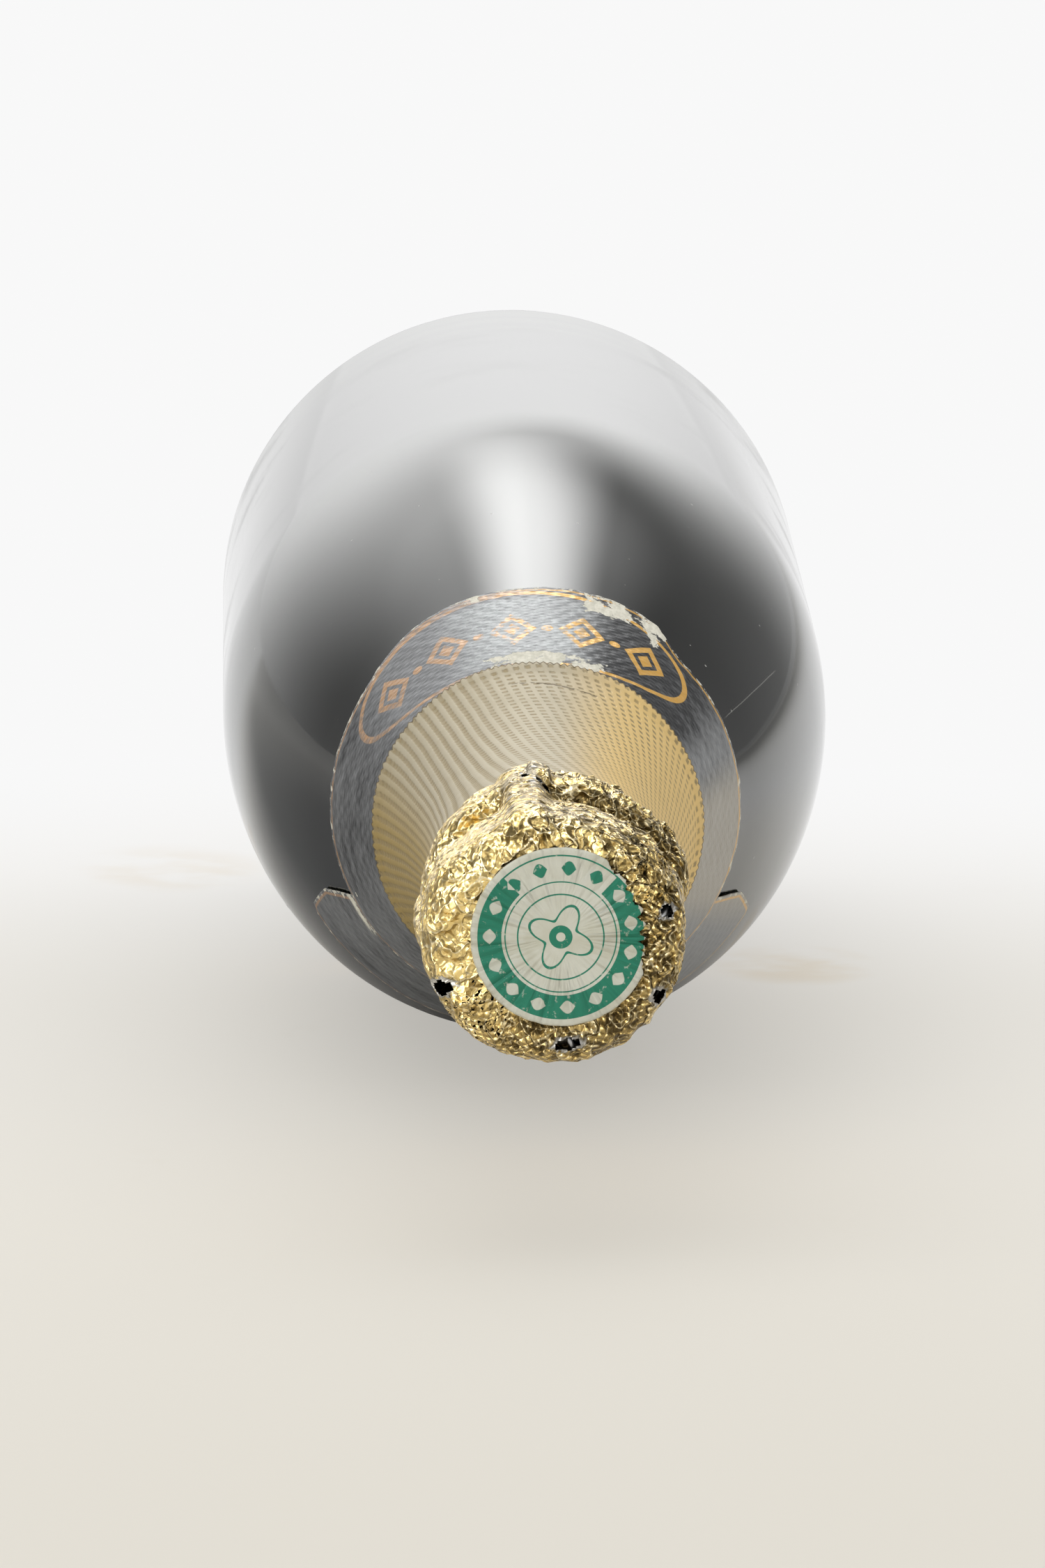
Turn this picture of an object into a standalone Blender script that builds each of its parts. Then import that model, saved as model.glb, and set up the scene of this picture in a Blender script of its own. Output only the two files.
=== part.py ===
"""A corked champagne bottle, lying on the label side as it does in the rack.

Every piece is built upright on the bottle's own axis: height 0 is the plane the bottle stands on, and the mouth
is up. The empty bottle_axis then lays the whole bottle down, mouth towards -Y. Lengths are in metres.
"""

from math import acos, atan2, ceil, cos, hypot, pi, radians, sin, sqrt, tan

import bmesh
import bpy
from mathutils import Matrix, Vector

# Glass body
BODY_RADIUS = 0.0442
BODY_HEIGHT = 0.122
HEEL_RADIUS = 0.0077
STANDING_RING_WIDTH = 0.003
SHOULDER_RADIUS = 0.258
SHOULDER_ANGLE = radians(18.5)
NECK_ARC_RADIUS = 0.160
NECK_RADIUS = 0.0153
NECK_STRAIGHT = 0.01306
WALL = 0.0036

# Punt, the hollow pushed up into the base
PUNT_HEIGHT = 0.032
PUNT_TOP_RADIUS = 0.014
BASE_WALL = 0.0045
TROUGH_RADIUS = 0.005

# Mouth: the cage ring, the crown lip and the bore that grips the cork
CAGE_RING_RADIUS = 0.0163
CAGE_RING_FLANK = 0.0022
CAGE_RING_HEIGHT = 0.0038
CAGE_RING_ROUNDING = 0.0009
LIP_NECK_RADIUS = 0.0133
LIP_NECK_FLANK = 0.0022
LIP_NECK_HEIGHT = 0.0016
LIP_RADIUS = 0.0143
LIP_FLANK = 0.0012
LIP_HEIGHT = 0.0045
LIP_ROUNDING = 0.0011
BORE_RADIUS = 0.0088
BORE_MOUTH_BEVEL = 0.0005
BORE_DEPTH = 0.030
BORE_SPREAD_RADIUS = 0.0097
BORE_SPREAD_DEPTH = 0.046

# Cork, compressed in the bore and swollen above it
CORK_BORE_GAP = 0.00035
CORK_NECK_LENGTH = 0.026
CORK_DISC_THICKNESS = 0.0058
CORK_HEAD_HEIGHT = 0.0167
CORK_HEAD_RADIUS = 0.0152
CORK_HEAD_ROUNDING = 0.0050
CORK_SHOULDER_HEIGHT = 0.0095

# Crown plate, the tinplate cap between cork and wires
PLATE_RADIUS = 0.0152
PLATE_THICKNESS = 0.0004
PLATE_CENTRE_RADIUS = 0.0104
PLATE_CENTRE_SLOPE = 0.0006
PLATE_CENTRE_RISE = 0.0018
PLATE_EDGE_RADIUS = 0.0138
PLATE_EDGE_DROP = 0.0013
PLATE_RIM_HEIGHT = 0.0024

# Wire cage
WIRE_RADIUS = 0.0004
STRAND_GAP = 0.00012
LEG_AZIMUTH = radians(12.0)
LEG_COUNT = 4
LEG_TURNS = 5
LEG_TAIL = 0.0021
LEG_RISE = 0.0030
LEG_BEND = 0.0032
EYELET_GAP = 0.00016
EYELET_HALF_LENGTH = 0.0021
CAGE_TOP_RADIUS = 0.0120
CAGE_TOP_SPREAD = radians(9.0)
BELT_DROP = 0.0012
BELT_KINK = 6
LOOP_AZIMUTH = radians(327.0)
LOOP_RADIUS = 0.0044
LOOP_STEM_LENGTH = 0.0136
LOOP_STEM_TURNS = 2
LOOP_OPENING = radians(18.0)

# Foil and paper
SHEET_GAP = 0.0003
FOIL_THICKNESS = 0.00025
PAPER_THICKNESS = 0.00025
COLLAR_ABOVE_CONE = 0.0041
COLLAR_HEIGHT = 0.0188
COLLAR_LOBE_DEPTH = 0.0050
COLLAR_LOBE_AZIMUTH = radians(96.0)
COLLAR_LOBE_HALF_SPAN = radians(49.0)
SHOULDER_LABEL_HEIGHT = 0.0236
SHOULDER_LABEL_OUTLINE = [  # share of its height from the lower edge up, and half its span there
    (0.0, radians(57.0)),
    (0.06, radians(60.0)),
    (0.30, radians(62.5)),
    (0.50, radians(64.5)),
    (0.75, radians(57.0)),
    (1.0, radians(49.0)),
]
SHOULDER_LABEL_COLUMNS = 18
LABEL_BOTTOM = 0.038
LABEL_OVER_SHOULDER = 0.009
LABEL_HALF_SPAN = radians(51.0)
LABEL_AZIMUTH = radians(270.0)
HOOD_SKIRT = 0.0024
HOOD_GROOVE_RADIUS = 0.0159
HOOD_HEAD_RADIUS = 0.0172
HOOD_CROWN_ROUNDING = 0.0044
HOOD_RIDGE_HALF_WIDTH = 0.0016
HOOD_RIDGE_FALL = 0.0030
TAB_HALF_WIDTH = 0.0058
TAB_GAP = 0.0004
SEAL_RADIUS = 0.0122
SEAL_THICKNESS = 0.0002

# Facets round each turned piece, and points along each arc
GLASS_FACETS = 46
HEAD_FACETS = 34
HOOD_FACETS = 72
LABEL_FACETS = 9
TAB_COLUMNS = 8
ARC_STEP = radians(3.5)
FINE_ARC_STEP = radians(30.0)
HELIX_POINTS = 8
LOOP_POINTS = 18
BELT_POINTS = 72
TOP_ARC_POINTS = 9
MERGE_DISTANCE = 0.00001
CUT_OVERRUN = 0.004

PAIR_OFFSET = WIRE_RADIUS + STRAND_GAP / 2
PAIR_RADIUS = PAIR_OFFSET + WIRE_RADIUS

for leftover in list(bpy.data.objects):
    bpy.data.objects.remove(leftover, do_unlink=True)

bottle_parts = bpy.data.collections.new("champagne_bottle")
cutters = bpy.data.collections.new("cutters")
for group in (bottle_parts, cutters):
    bpy.context.scene.collection.children.link(group)


def make_material(name, color, roughness, metallic=0.0):
    material = bpy.data.materials.new(name)
    material.use_nodes = True
    surface = material.node_tree.nodes["Principled BSDF"]
    surface.inputs["Base Color"].default_value = (*color, 1.0)
    surface.inputs["Roughness"].default_value = roughness
    surface.inputs["Metallic"].default_value = metallic
    return material


GREEN_GLASS = make_material("green_glass", (0.016, 0.024, 0.014), 0.08)
NECK_GOLD = make_material("neck_gold_foil", (0.72, 0.58, 0.33), 0.35, 1.0)
HOOD_GOLD = make_material("hood_gold_foil", (0.78, 0.57, 0.22), 0.28, 1.0)
TAB_GOLD = make_material("tab_gold_foil", (0.75, 0.62, 0.40), 0.32, 1.0)
COLLAR_PAPER = make_material("collar_paper", (0.13, 0.14, 0.16), 0.5)
SHOULDER_PAPER = make_material("shoulder_label_paper", (0.12, 0.125, 0.14), 0.55)
LABEL_PAPER = make_material("label_paper", (0.10, 0.10, 0.11), 0.6)
SEAL_PAPER = make_material("seal_paper", (0.78, 0.78, 0.70), 0.6)
CORK_GRAIN = make_material("agglomerate_cork", (0.52, 0.34, 0.19), 0.8)
CORK_DISC = make_material("natural_cork", (0.60, 0.42, 0.25), 0.75)
TINPLATE = make_material("tinplate", (0.70, 0.66, 0.55), 0.3, 1.0)
STEEL_WIRE = make_material("steel_wire", (0.55, 0.55, 0.56), 0.3, 1.0)


def arc(centre_radius, centre_height, radius, start, end, step=ARC_STEP):
    """Points (radius, height) along an arc in the plane of the bottle's axis, ends included."""
    count = max(1, ceil(abs(end - start) / step))
    angles = [start + (end - start) * i / count for i in range(count + 1)]
    return [(centre_radius + radius * cos(a), centre_height + radius * sin(a)) for a in angles]


def radius_at(outline, height):
    """The radius of an outline that runs downwards, at one height."""
    for (r_high, high), (r_low, low) in zip(outline, outline[1:]):
        if low <= height <= high and high > low:
            return r_low + (r_high - r_low) * (height - low) / (high - low)
    return outline[0][0] if height > outline[0][1] else outline[-1][0]


def stretch(outline, top, bottom):
    """The part of a downward outline between two heights, with a point at each of them."""
    inner = [(r, z) for r, z in outline if bottom < z < top]
    return [(radius_at(outline, top), top), *inner, (radius_at(outline, bottom), bottom)]


def moved_out(outline, distance):
    """An outline moved outwards along its own normals, which keeps a wrapped sheet an even distance off."""
    moved = []
    for i, (r, z) in enumerate(outline):
        before, after = outline[max(i - 1, 0)], outline[min(i + 1, len(outline) - 1)]
        along = Vector((after[0] - before[0], after[1] - before[1])).normalized()
        moved.append((r - along.y * distance, z + along.x * distance))
    return moved


def keep(obj, material):
    obj.data.materials.append(material)
    bottle_parts.objects.link(obj)
    return obj


def turn(name, outline, facets, closed=False):
    """A turned piece. Its outline runs down the outer side at +X."""
    mesh = bpy.data.meshes.new(name)
    edges = [(i, i + 1) for i in range(len(outline) - 1)]
    if closed:
        edges.append((len(outline) - 1, 0))
    mesh.from_pydata([(r, 0.0, z) for r, z in outline], edges, [])
    obj = bpy.data.objects.new(name, mesh)
    screw = obj.modifiers.new("turn", "SCREW")
    screw.steps = screw.render_steps = facets
    screw.use_merge_vertices = True
    screw.merge_threshold = MERGE_DISTANCE
    screw.use_smooth_shade = True
    return obj


def as_mesh(obj, group=None):
    """A plain mesh object in place of one with modifiers or of a curve, its caps welded."""
    if obj.name not in bpy.context.scene.objects:
        bpy.context.scene.collection.objects.link(obj)
    bpy.context.view_layer.update()
    evaluated = obj.evaluated_get(bpy.context.evaluated_depsgraph_get())
    mesh = bpy.data.meshes.new_from_object(evaluated)
    sewn = bmesh.new()
    sewn.from_mesh(mesh)
    bmesh.ops.remove_doubles(sewn, verts=sewn.verts, dist=MERGE_DISTANCE)
    sewn.to_mesh(mesh)
    sewn.free()
    name = obj.name
    bpy.data.objects.remove(obj, do_unlink=True)
    plain = bpy.data.objects.new(name, mesh)
    if group:
        group.objects.link(plain)
    return plain


def sheet_ring(outline, distance, thickness):
    """The closed outline of a sheet wrapped round a turned piece, a distance off it."""
    inside = moved_out(outline, distance)
    outside = moved_out(outline, distance + thickness)
    return outside + inside[::-1]


def polar(radius, azimuth, height):
    return Vector((radius * cos(azimuth), radius * sin(azimuth), height))


def smooth_path(points, spacing):
    """Evenly spaced points along a Catmull-Rom curve through the given points."""
    ends = [points[0] * 2 - points[1], *points, points[-1] * 2 - points[-2]]
    fine = []
    for a, b, c, d in zip(ends, ends[1:], ends[2:], ends[3:]):
        count = max(2, ceil((c - b).length / spacing) * 4)
        for i in range(count):
            t = i / count
            fine.append(0.5 * (2 * b + (c - a) * t + (2 * a - 5 * b + 4 * c - d) * t**2
                               + (3 * b - a - 3 * c + d) * t**3))
    fine.append(points[-1])
    length = sum((q - p).length for p, q in zip(fine, fine[1:]))
    count = max(2, round(length / spacing))
    even, walked, target = [fine[0]], 0.0, length / count
    for p, q in zip(fine, fine[1:]):
        step = (q - p).length
        while step and walked + step >= target * len(even) and len(even) < count:
            even.append(p.lerp(q, (target * len(even) - walked) / step))
        walked += step
    return even + [fine[-1]]


def wire(name, points, closed=False):
    """A round wire along a list of points."""
    curve = bpy.data.curves.new(name, "CURVE")
    curve.dimensions = "3D"
    curve.bevel_depth = WIRE_RADIUS
    curve.bevel_resolution = 1
    curve.use_fill_caps = True
    spline = curve.splines.new("POLY")
    spline.points.add(len(points) - 1)
    for slot, point in zip(spline.points, points):
        slot.co = (*point, 1.0)
    spline.use_cyclic_u = closed
    return bpy.data.objects.new(name, curve)


def least_gap(points):
    """The least gap of a wire to itself, past its own bend, or None where it never comes back."""
    near = ceil(pi * WIRE_RADIUS * 2 / (points[1] - points[0]).length) + 1
    gaps = [(p - q).length for i, p in enumerate(points) for q in points[i + near:]]
    return min(gaps) - 2 * WIRE_RADIUS if gaps else None


# Heights that the outlines share, from the base up.
SHOULDER_DROP = (SHOULDER_RADIUS + NECK_ARC_RADIUS) * (1 - cos(SHOULDER_ANGLE))
CONE_LENGTH = (BODY_RADIUS - NECK_RADIUS - SHOULDER_DROP) / tan(SHOULDER_ANGLE)
SHOULDER_TOP = BODY_HEIGHT + SHOULDER_RADIUS * sin(SHOULDER_ANGLE)
CONE_TOP = SHOULDER_TOP + CONE_LENGTH
NECK_START = CONE_TOP + NECK_ARC_RADIUS * sin(SHOULDER_ANGLE)
RING_BOTTOM = NECK_START + NECK_STRAIGHT
COLLAR_TOP = CONE_TOP + COLLAR_ABOVE_CONE
LABEL_HEIGHT = BODY_HEIGHT + LABEL_OVER_SHOULDER - LABEL_BOTTOM
RING_WIDE = RING_BOTTOM + CAGE_RING_FLANK
RING_TOP = RING_WIDE + CAGE_RING_HEIGHT
LIP_NECK_START = RING_TOP + LIP_NECK_FLANK
LIP_NECK_END = LIP_NECK_START + LIP_NECK_HEIGHT
LIP_WIDE = LIP_NECK_END + LIP_FLANK
MOUTH = LIP_WIDE + LIP_HEIGHT
BELT_HEIGHT = RING_BOTTOM - BELT_DROP
CORK_TOP = MOUTH + SHEET_GAP + CORK_HEAD_HEIGHT
PLATE_TOP = CORK_TOP + SHEET_GAP + PLATE_THICKNESS
PLATE_GROOVE = PLATE_TOP - PLATE_CENTRE_RISE
LEG_TOP = PLATE_GROOVE + SHEET_GAP + PAIR_RADIUS
HOOD_TOP = LEG_TOP + PAIR_RADIUS + SHEET_GAP
SEAL_TOP = HOOD_TOP + FOIL_THICKNESS + SHEET_GAP + SEAL_THICKNESS
HOOD_BOTTOM = BELT_HEIGHT - HOOD_SKIRT


def glass_outer():
    """The glass from the lip's outer edge down to the heel."""
    return [
        *arc(LIP_RADIUS - LIP_ROUNDING, MOUTH - LIP_ROUNDING, LIP_ROUNDING, pi / 2, 0, FINE_ARC_STEP),
        (LIP_RADIUS, LIP_WIDE),
        (LIP_NECK_RADIUS, LIP_NECK_END),
        (LIP_NECK_RADIUS, LIP_NECK_START),
        *arc(CAGE_RING_RADIUS - CAGE_RING_ROUNDING, RING_TOP - CAGE_RING_ROUNDING, CAGE_RING_ROUNDING,
             pi / 2, 0, FINE_ARC_STEP),
        (CAGE_RING_RADIUS, RING_WIDE),
        (NECK_RADIUS, RING_BOTTOM),
        *arc(NECK_RADIUS + NECK_ARC_RADIUS, NECK_START, NECK_ARC_RADIUS, pi, pi + SHOULDER_ANGLE),
        *arc(BODY_RADIUS - SHOULDER_RADIUS, BODY_HEIGHT, SHOULDER_RADIUS, SHOULDER_ANGLE, 0),
        *arc(BODY_RADIUS - HEEL_RADIUS, HEEL_RADIUS, HEEL_RADIUS, 0, -pi / 2, FINE_ARC_STEP),
    ]


def punt_slope():
    """The angle at which the punt's dome turns into its straight side."""
    edge = BODY_RADIUS - HEEL_RADIUS - STANDING_RING_WIDTH
    centre = PUNT_HEIGHT - PUNT_TOP_RADIUS
    return acos(PUNT_TOP_RADIUS / hypot(edge, centre)) - atan2(centre, edge)


def build_glass():
    slope = punt_slope()
    centre = PUNT_HEIGHT - PUNT_TOP_RADIUS
    edge = BODY_RADIUS - HEEL_RADIUS - STANDING_RING_WIDTH
    inner_radius = BODY_RADIUS - WALL
    trough = inner_radius - TROUGH_RADIUS
    reach = centre * sin(slope) + PUNT_TOP_RADIUS + BASE_WALL + TROUGH_RADIUS
    trough_height = (reach - trough * cos(slope)) / sin(slope)
    inside = [
        *arc(0, centre, PUNT_TOP_RADIUS + BASE_WALL, pi / 2, slope, FINE_ARC_STEP / 2),
        *arc(trough, trough_height, TROUGH_RADIUS, pi + slope, 2 * pi, FINE_ARC_STEP),
        *arc(inner_radius - SHOULDER_RADIUS + WALL, BODY_HEIGHT, SHOULDER_RADIUS - WALL, 0, SHOULDER_ANGLE),
        (BORE_SPREAD_RADIUS, MOUTH - BORE_SPREAD_DEPTH),
        (BORE_RADIUS, MOUTH - BORE_DEPTH),
        (BORE_RADIUS, MOUTH - BORE_MOUTH_BEVEL),
        (BORE_RADIUS + BORE_MOUTH_BEVEL, MOUTH),
    ]
    inside[0] = (0.0, inside[0][1])
    punt = [(edge, 0.0), *arc(0, centre, PUNT_TOP_RADIUS, slope, pi / 2, FINE_ARC_STEP / 2)]
    punt[-1] = (0.0, punt[-1][1])
    return keep(turn("glass_bottle", inside + glass_outer() + punt, GLASS_FACETS), GREEN_GLASS)


def build_neck_foil():
    top = BELT_HEIGHT - WIRE_RADIUS - SHEET_GAP
    outline = stretch(glass_outer(), top, COLLAR_TOP + SHEET_GAP)
    ring = sheet_ring(outline, SHEET_GAP, FOIL_THICKNESS)
    return keep(turn("neck_foil", ring, GLASS_FACETS, closed=True), NECK_GOLD)


def lobe_depth(azimuth):
    """How far the collar's medallion hangs below its band at one azimuth."""
    share = abs(azimuth - COLLAR_LOBE_AZIMUTH) / COLLAR_LOBE_HALF_SPAN
    return COLLAR_LOBE_DEPTH * sqrt(cos(share * pi / 2)) if share < 1 else 0.0


def build_collar():
    """The paper band on the shoulder. Its lower edge drops in a lobe under the medallion."""
    band_bottom = COLLAR_TOP - COLLAR_HEIGHT
    outline = stretch(glass_outer(), COLLAR_TOP, band_bottom)
    ring = turn("collar_label", sheet_ring(outline, SHEET_GAP, PAPER_THICKNESS), GLASS_FACETS, closed=True)
    collar = as_mesh(ring)
    outer = glass_outer()
    for vertex in collar.data.vertices:
        x, y, z = vertex.co
        drop = lobe_depth(atan2(y, x)) * (COLLAR_TOP - z) / COLLAR_HEIGHT
        widening = radius_at(outer, z - drop) - radius_at(outer, z)
        radius = hypot(x, y)
        vertex.co = (x * (radius + widening) / radius, y * (radius + widening) / radius, z - drop)
    return keep(collar, COLLAR_PAPER)


def build_shoulder_label():
    """The paper on the front of the shoulder, under the collar's band. Its two wings stick out sideways."""
    top = COLLAR_TOP - COLLAR_HEIGHT - SHEET_GAP
    outer = glass_outer()
    mesh = bpy.data.meshes.new("shoulder_label")
    sheet = bmesh.new()
    rows = []
    for share, half_span in SHOULDER_LABEL_OUTLINE:
        height = top - SHOULDER_LABEL_HEIGHT * (1 - share)
        row = []
        for i in range(SHOULDER_LABEL_COLUMNS + 1):
            azimuth = LABEL_AZIMUTH + half_span * (2 * i / SHOULDER_LABEL_COLUMNS - 1)
            row.append(sheet.verts.new(polar(radius_at(outer, height) + SHEET_GAP, azimuth, height)))
        rows.append(row)
    for low, high in zip(rows, rows[1:]):
        for i in range(SHOULDER_LABEL_COLUMNS):
            sheet.faces.new((low[i], low[i + 1], high[i + 1], high[i]))
    sheet.to_mesh(mesh)
    sheet.free()
    label = keep(bpy.data.objects.new("shoulder_label", mesh), SHOULDER_PAPER)
    paper = label.modifiers.new("paper", "SOLIDIFY")
    paper.thickness = PAPER_THICKNESS
    paper.offset = 1
    paper.use_even_offset = True
    return label


def build_front_label():
    """The paper that the bottle lies on. Its flats are the widest, so that one of them is the resting face."""
    half_facet = LABEL_HALF_SPAN / LABEL_FACETS
    inner = (BODY_RADIUS + SHEET_GAP) / cos(half_facet)
    mesh = bpy.data.meshes.new("front_label")
    sheet = bmesh.new()
    bmesh.ops.create_grid(sheet, x_segments=LABEL_FACETS, y_segments=1, size=1)
    for vertex in sheet.verts:
        azimuth = LABEL_AZIMUTH + vertex.co.x * LABEL_HALF_SPAN
        vertex.co = polar(inner, azimuth, LABEL_BOTTOM + (vertex.co.y + 1) / 2 * LABEL_HEIGHT)
    sheet.to_mesh(mesh)
    sheet.free()
    label = keep(bpy.data.objects.new("front_label", mesh), LABEL_PAPER)
    paper = label.modifiers.new("paper", "SOLIDIFY")
    paper.thickness = PAPER_THICKNESS
    paper.offset = 1
    paper.use_even_offset = True
    return label


def build_cork():
    """The agglomerate body: a straight part in the bore, and a head that has swollen over the lip."""
    neck = BORE_RADIUS - CORK_BORE_GAP
    underside = MOUTH + SHEET_GAP
    under_rim = PLATE_RADIUS - PLATE_THICKNESS - SHEET_GAP
    under_groove = PLATE_GROOVE - PLATE_THICKNESS - SHEET_GAP
    under_edge = under_groove - PLATE_EDGE_DROP
    disc_zone = CORK_DISC_THICKNESS * 2 + SHEET_GAP * 2
    outline = [
        (0.0, CORK_TOP),
        (PLATE_CENTRE_RADIUS - PLATE_THICKNESS - SHEET_GAP, CORK_TOP),
        (PLATE_CENTRE_RADIUS + PLATE_CENTRE_SLOPE - PLATE_THICKNESS - SHEET_GAP, under_groove),
        (PLATE_EDGE_RADIUS - PLATE_THICKNESS / 2 - SHEET_GAP, under_groove),
        (under_rim, under_edge),
        (under_rim, under_edge - PLATE_RIM_HEIGHT),
        (CORK_HEAD_RADIUS, underside + CORK_SHOULDER_HEIGHT),
        *arc(CORK_HEAD_RADIUS - CORK_HEAD_ROUNDING, underside + CORK_HEAD_ROUNDING, CORK_HEAD_ROUNDING,
             0, -pi / 2, FINE_ARC_STEP),
        (neck, underside),
        (neck, MOUTH - CORK_NECK_LENGTH + disc_zone),
        (0.0, MOUTH - CORK_NECK_LENGTH + disc_zone),
    ]
    return keep(turn("cork_body", outline, HEAD_FACETS), CORK_GRAIN)


def build_cork_disc(name, order):
    """One of the two discs of natural cork glued on below the body. Order 0 is the one that meets the wine."""
    neck = BORE_RADIUS - CORK_BORE_GAP
    low = MOUTH - CORK_NECK_LENGTH + order * (CORK_DISC_THICKNESS + SHEET_GAP)
    high = low + CORK_DISC_THICKNESS
    return keep(turn(name, [(0.0, high), (neck, high), (neck, low), (0.0, low)], HEAD_FACETS), CORK_DISC)


def build_crown_plate():
    """The pressed cap: a raised centre, a groove that the top wires lie in, and a rim turned down."""
    top = [
        (0.0, PLATE_TOP),
        (PLATE_CENTRE_RADIUS, PLATE_TOP),
        (PLATE_CENTRE_RADIUS + PLATE_CENTRE_SLOPE, PLATE_GROOVE),
        (PLATE_EDGE_RADIUS, PLATE_GROOVE),
        (PLATE_RADIUS, PLATE_GROOVE - PLATE_EDGE_DROP),
        (PLATE_RADIUS, PLATE_GROOVE - PLATE_EDGE_DROP - PLATE_RIM_HEIGHT),
    ]
    half = PLATE_THICKNESS / 2
    shift = [(0, 1), (1, 1), (1, 1), (half / PLATE_THICKNESS, 1), (1, half / PLATE_THICKNESS), (1, 0)]
    under = [(r - a * PLATE_THICKNESS, z - b * PLATE_THICKNESS) for (r, z), (a, b) in zip(top, shift)]
    return keep(turn("crown_plate", top + under[::-1], HEAD_FACETS), TINPLATE)


def leg_centre():
    """A leg's centre line as points (radius, height): up past the ring, in to the cork's head and over the rim."""
    over_foil = NECK_RADIUS + SHEET_GAP + FOIL_THICKNESS + EYELET_GAP
    eyelet = over_foil + 3 * WIRE_RADIUS + EYELET_GAP
    by_ring = CAGE_RING_RADIUS + SHEET_GAP + PAIR_RADIUS
    by_head = max(CORK_HEAD_RADIUS, PLATE_RADIUS) + SHEET_GAP + PAIR_RADIUS
    return [
        (eyelet, BELT_HEIGHT - LEG_TAIL),
        (eyelet, BELT_HEIGHT),
        (eyelet, BELT_HEIGHT + EYELET_HALF_LENGTH),
        (by_ring, RING_TOP),
        (by_head, MOUTH + LEG_RISE),
        (by_head, LEG_TOP - LEG_BEND * 2),
        (by_head, LEG_TOP - LEG_BEND),
        (PLATE_EDGE_RADIUS + PAIR_RADIUS, LEG_TOP - SHEET_GAP),
        (CAGE_TOP_RADIUS + PAIR_RADIUS * 2, LEG_TOP),
    ]


EYELET_RADIUS = leg_centre()[0][0]
EYELET_OFFSET = 2 * WIRE_RADIUS + EYELET_GAP


def leg_points():
    """Evenly spaced points along a leg, bottom to top, with the two strands' turn and spread at each."""
    spacing_guess = WIRE_RADIUS * 2
    line = smooth_path([Vector((r, z)).to_3d() for r, z in leg_centre()], spacing_guess)
    length = sum((q - p).length for p, q in zip(line, line[1:]))
    count = ceil((LEG_TURNS + 1) * HELIX_POINTS)
    line = smooth_path([Vector((r, z)).to_3d() for r, z in leg_centre()], length / count)
    walked = [0.0]
    for p, q in zip(line, line[1:]):
        walked.append(walked[-1] + (q - p).length)
    return line, walked


def strand(azimuth, side):
    """One strand of a leg's twisted pair, bottom to top. It parts from its twin round the belt."""
    line, walked = leg_points()
    eye = LEG_TAIL
    start, end = eye + EYELET_HALF_LENGTH, walked[-1]
    points = []
    for i, (point, distance) in enumerate(zip(line, walked)):
        above = max(0.0, distance - start) / (end - start)
        below = max(0.0, eye - EYELET_HALF_LENGTH - distance)
        turned = pi / 2 + (LEG_TURNS * 2 * pi + pi / 2) * above - pi * below / LEG_TAIL
        apart = abs(distance - eye) / EYELET_HALF_LENGTH
        spread = cos(apart * pi / 2) ** 2 if apart < 1 else 0.0
        offset = PAIR_OFFSET + (EYELET_OFFSET - PAIR_OFFSET) * spread
        along = (line[min(i + 1, len(line) - 1)] - line[max(i - 1, 0)]).normalized()
        outward, across = Vector((along.y, -along.x)), cos(turned) * offset * side
        shift = outward * sin(turned) * offset * side
        centre = polar(point.x + shift.x, azimuth, point.y + shift.y)
        points.append(centre + Vector((-sin(azimuth), cos(azimuth), 0.0)) * across)
    return points


def build_cage_wires():
    """Four wires make the cage. Each runs up one leg, round a quarter of the top and down the next leg."""
    wires = []
    ring_height = PLATE_GROOVE + SHEET_GAP + WIRE_RADIUS
    for leg in range(LEG_COUNT):
        first = LEG_AZIMUTH + leg * 2 * pi / LEG_COUNT
        second = first + 2 * pi / LEG_COUNT
        span = second - first - 2 * CAGE_TOP_SPREAD
        top = [polar(CAGE_TOP_RADIUS, first + CAGE_TOP_SPREAD + span * i / (TOP_ARC_POINTS - 1), ring_height)
               for i in range(TOP_ARC_POINTS)]
        up = strand(first, 1 if cos(pi / 2 + pi / 2 + LEG_TURNS * 2 * pi) > 0 else -1)
        down = strand(second, -1 if cos(pi / 2 + pi / 2 + LEG_TURNS * 2 * pi) > 0 else 1)
        wires.append(keep(wire(f"cage_wire_{leg + 1}", up + top + down[::-1]), STEEL_WIRE))
    return wires


def build_belt():
    """The wire that passes through the four eyelets and dips in under the glass ring between them."""
    waist = NECK_RADIUS + SHEET_GAP + WIRE_RADIUS
    points = []
    for i in range(BELT_POINTS):
        azimuth = LEG_AZIMUTH + 2 * pi * i / BELT_POINTS
        share = (0.5 + 0.5 * cos(LEG_COUNT * (azimuth - LEG_AZIMUTH))) ** BELT_KINK
        points.append(polar(waist + (EYELET_RADIUS - waist) * share, azimuth, BELT_HEIGHT))
    return keep(wire("cage_belt", points, closed=True), STEEL_WIRE)


LOOP_RADIUS_OUT = CAGE_RING_RADIUS + SHEET_GAP + PAIR_RADIUS
LOOP_ROOT = NECK_RADIUS + SHEET_GAP * 2 + WIRE_RADIUS * 2 + PAIR_RADIUS


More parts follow.
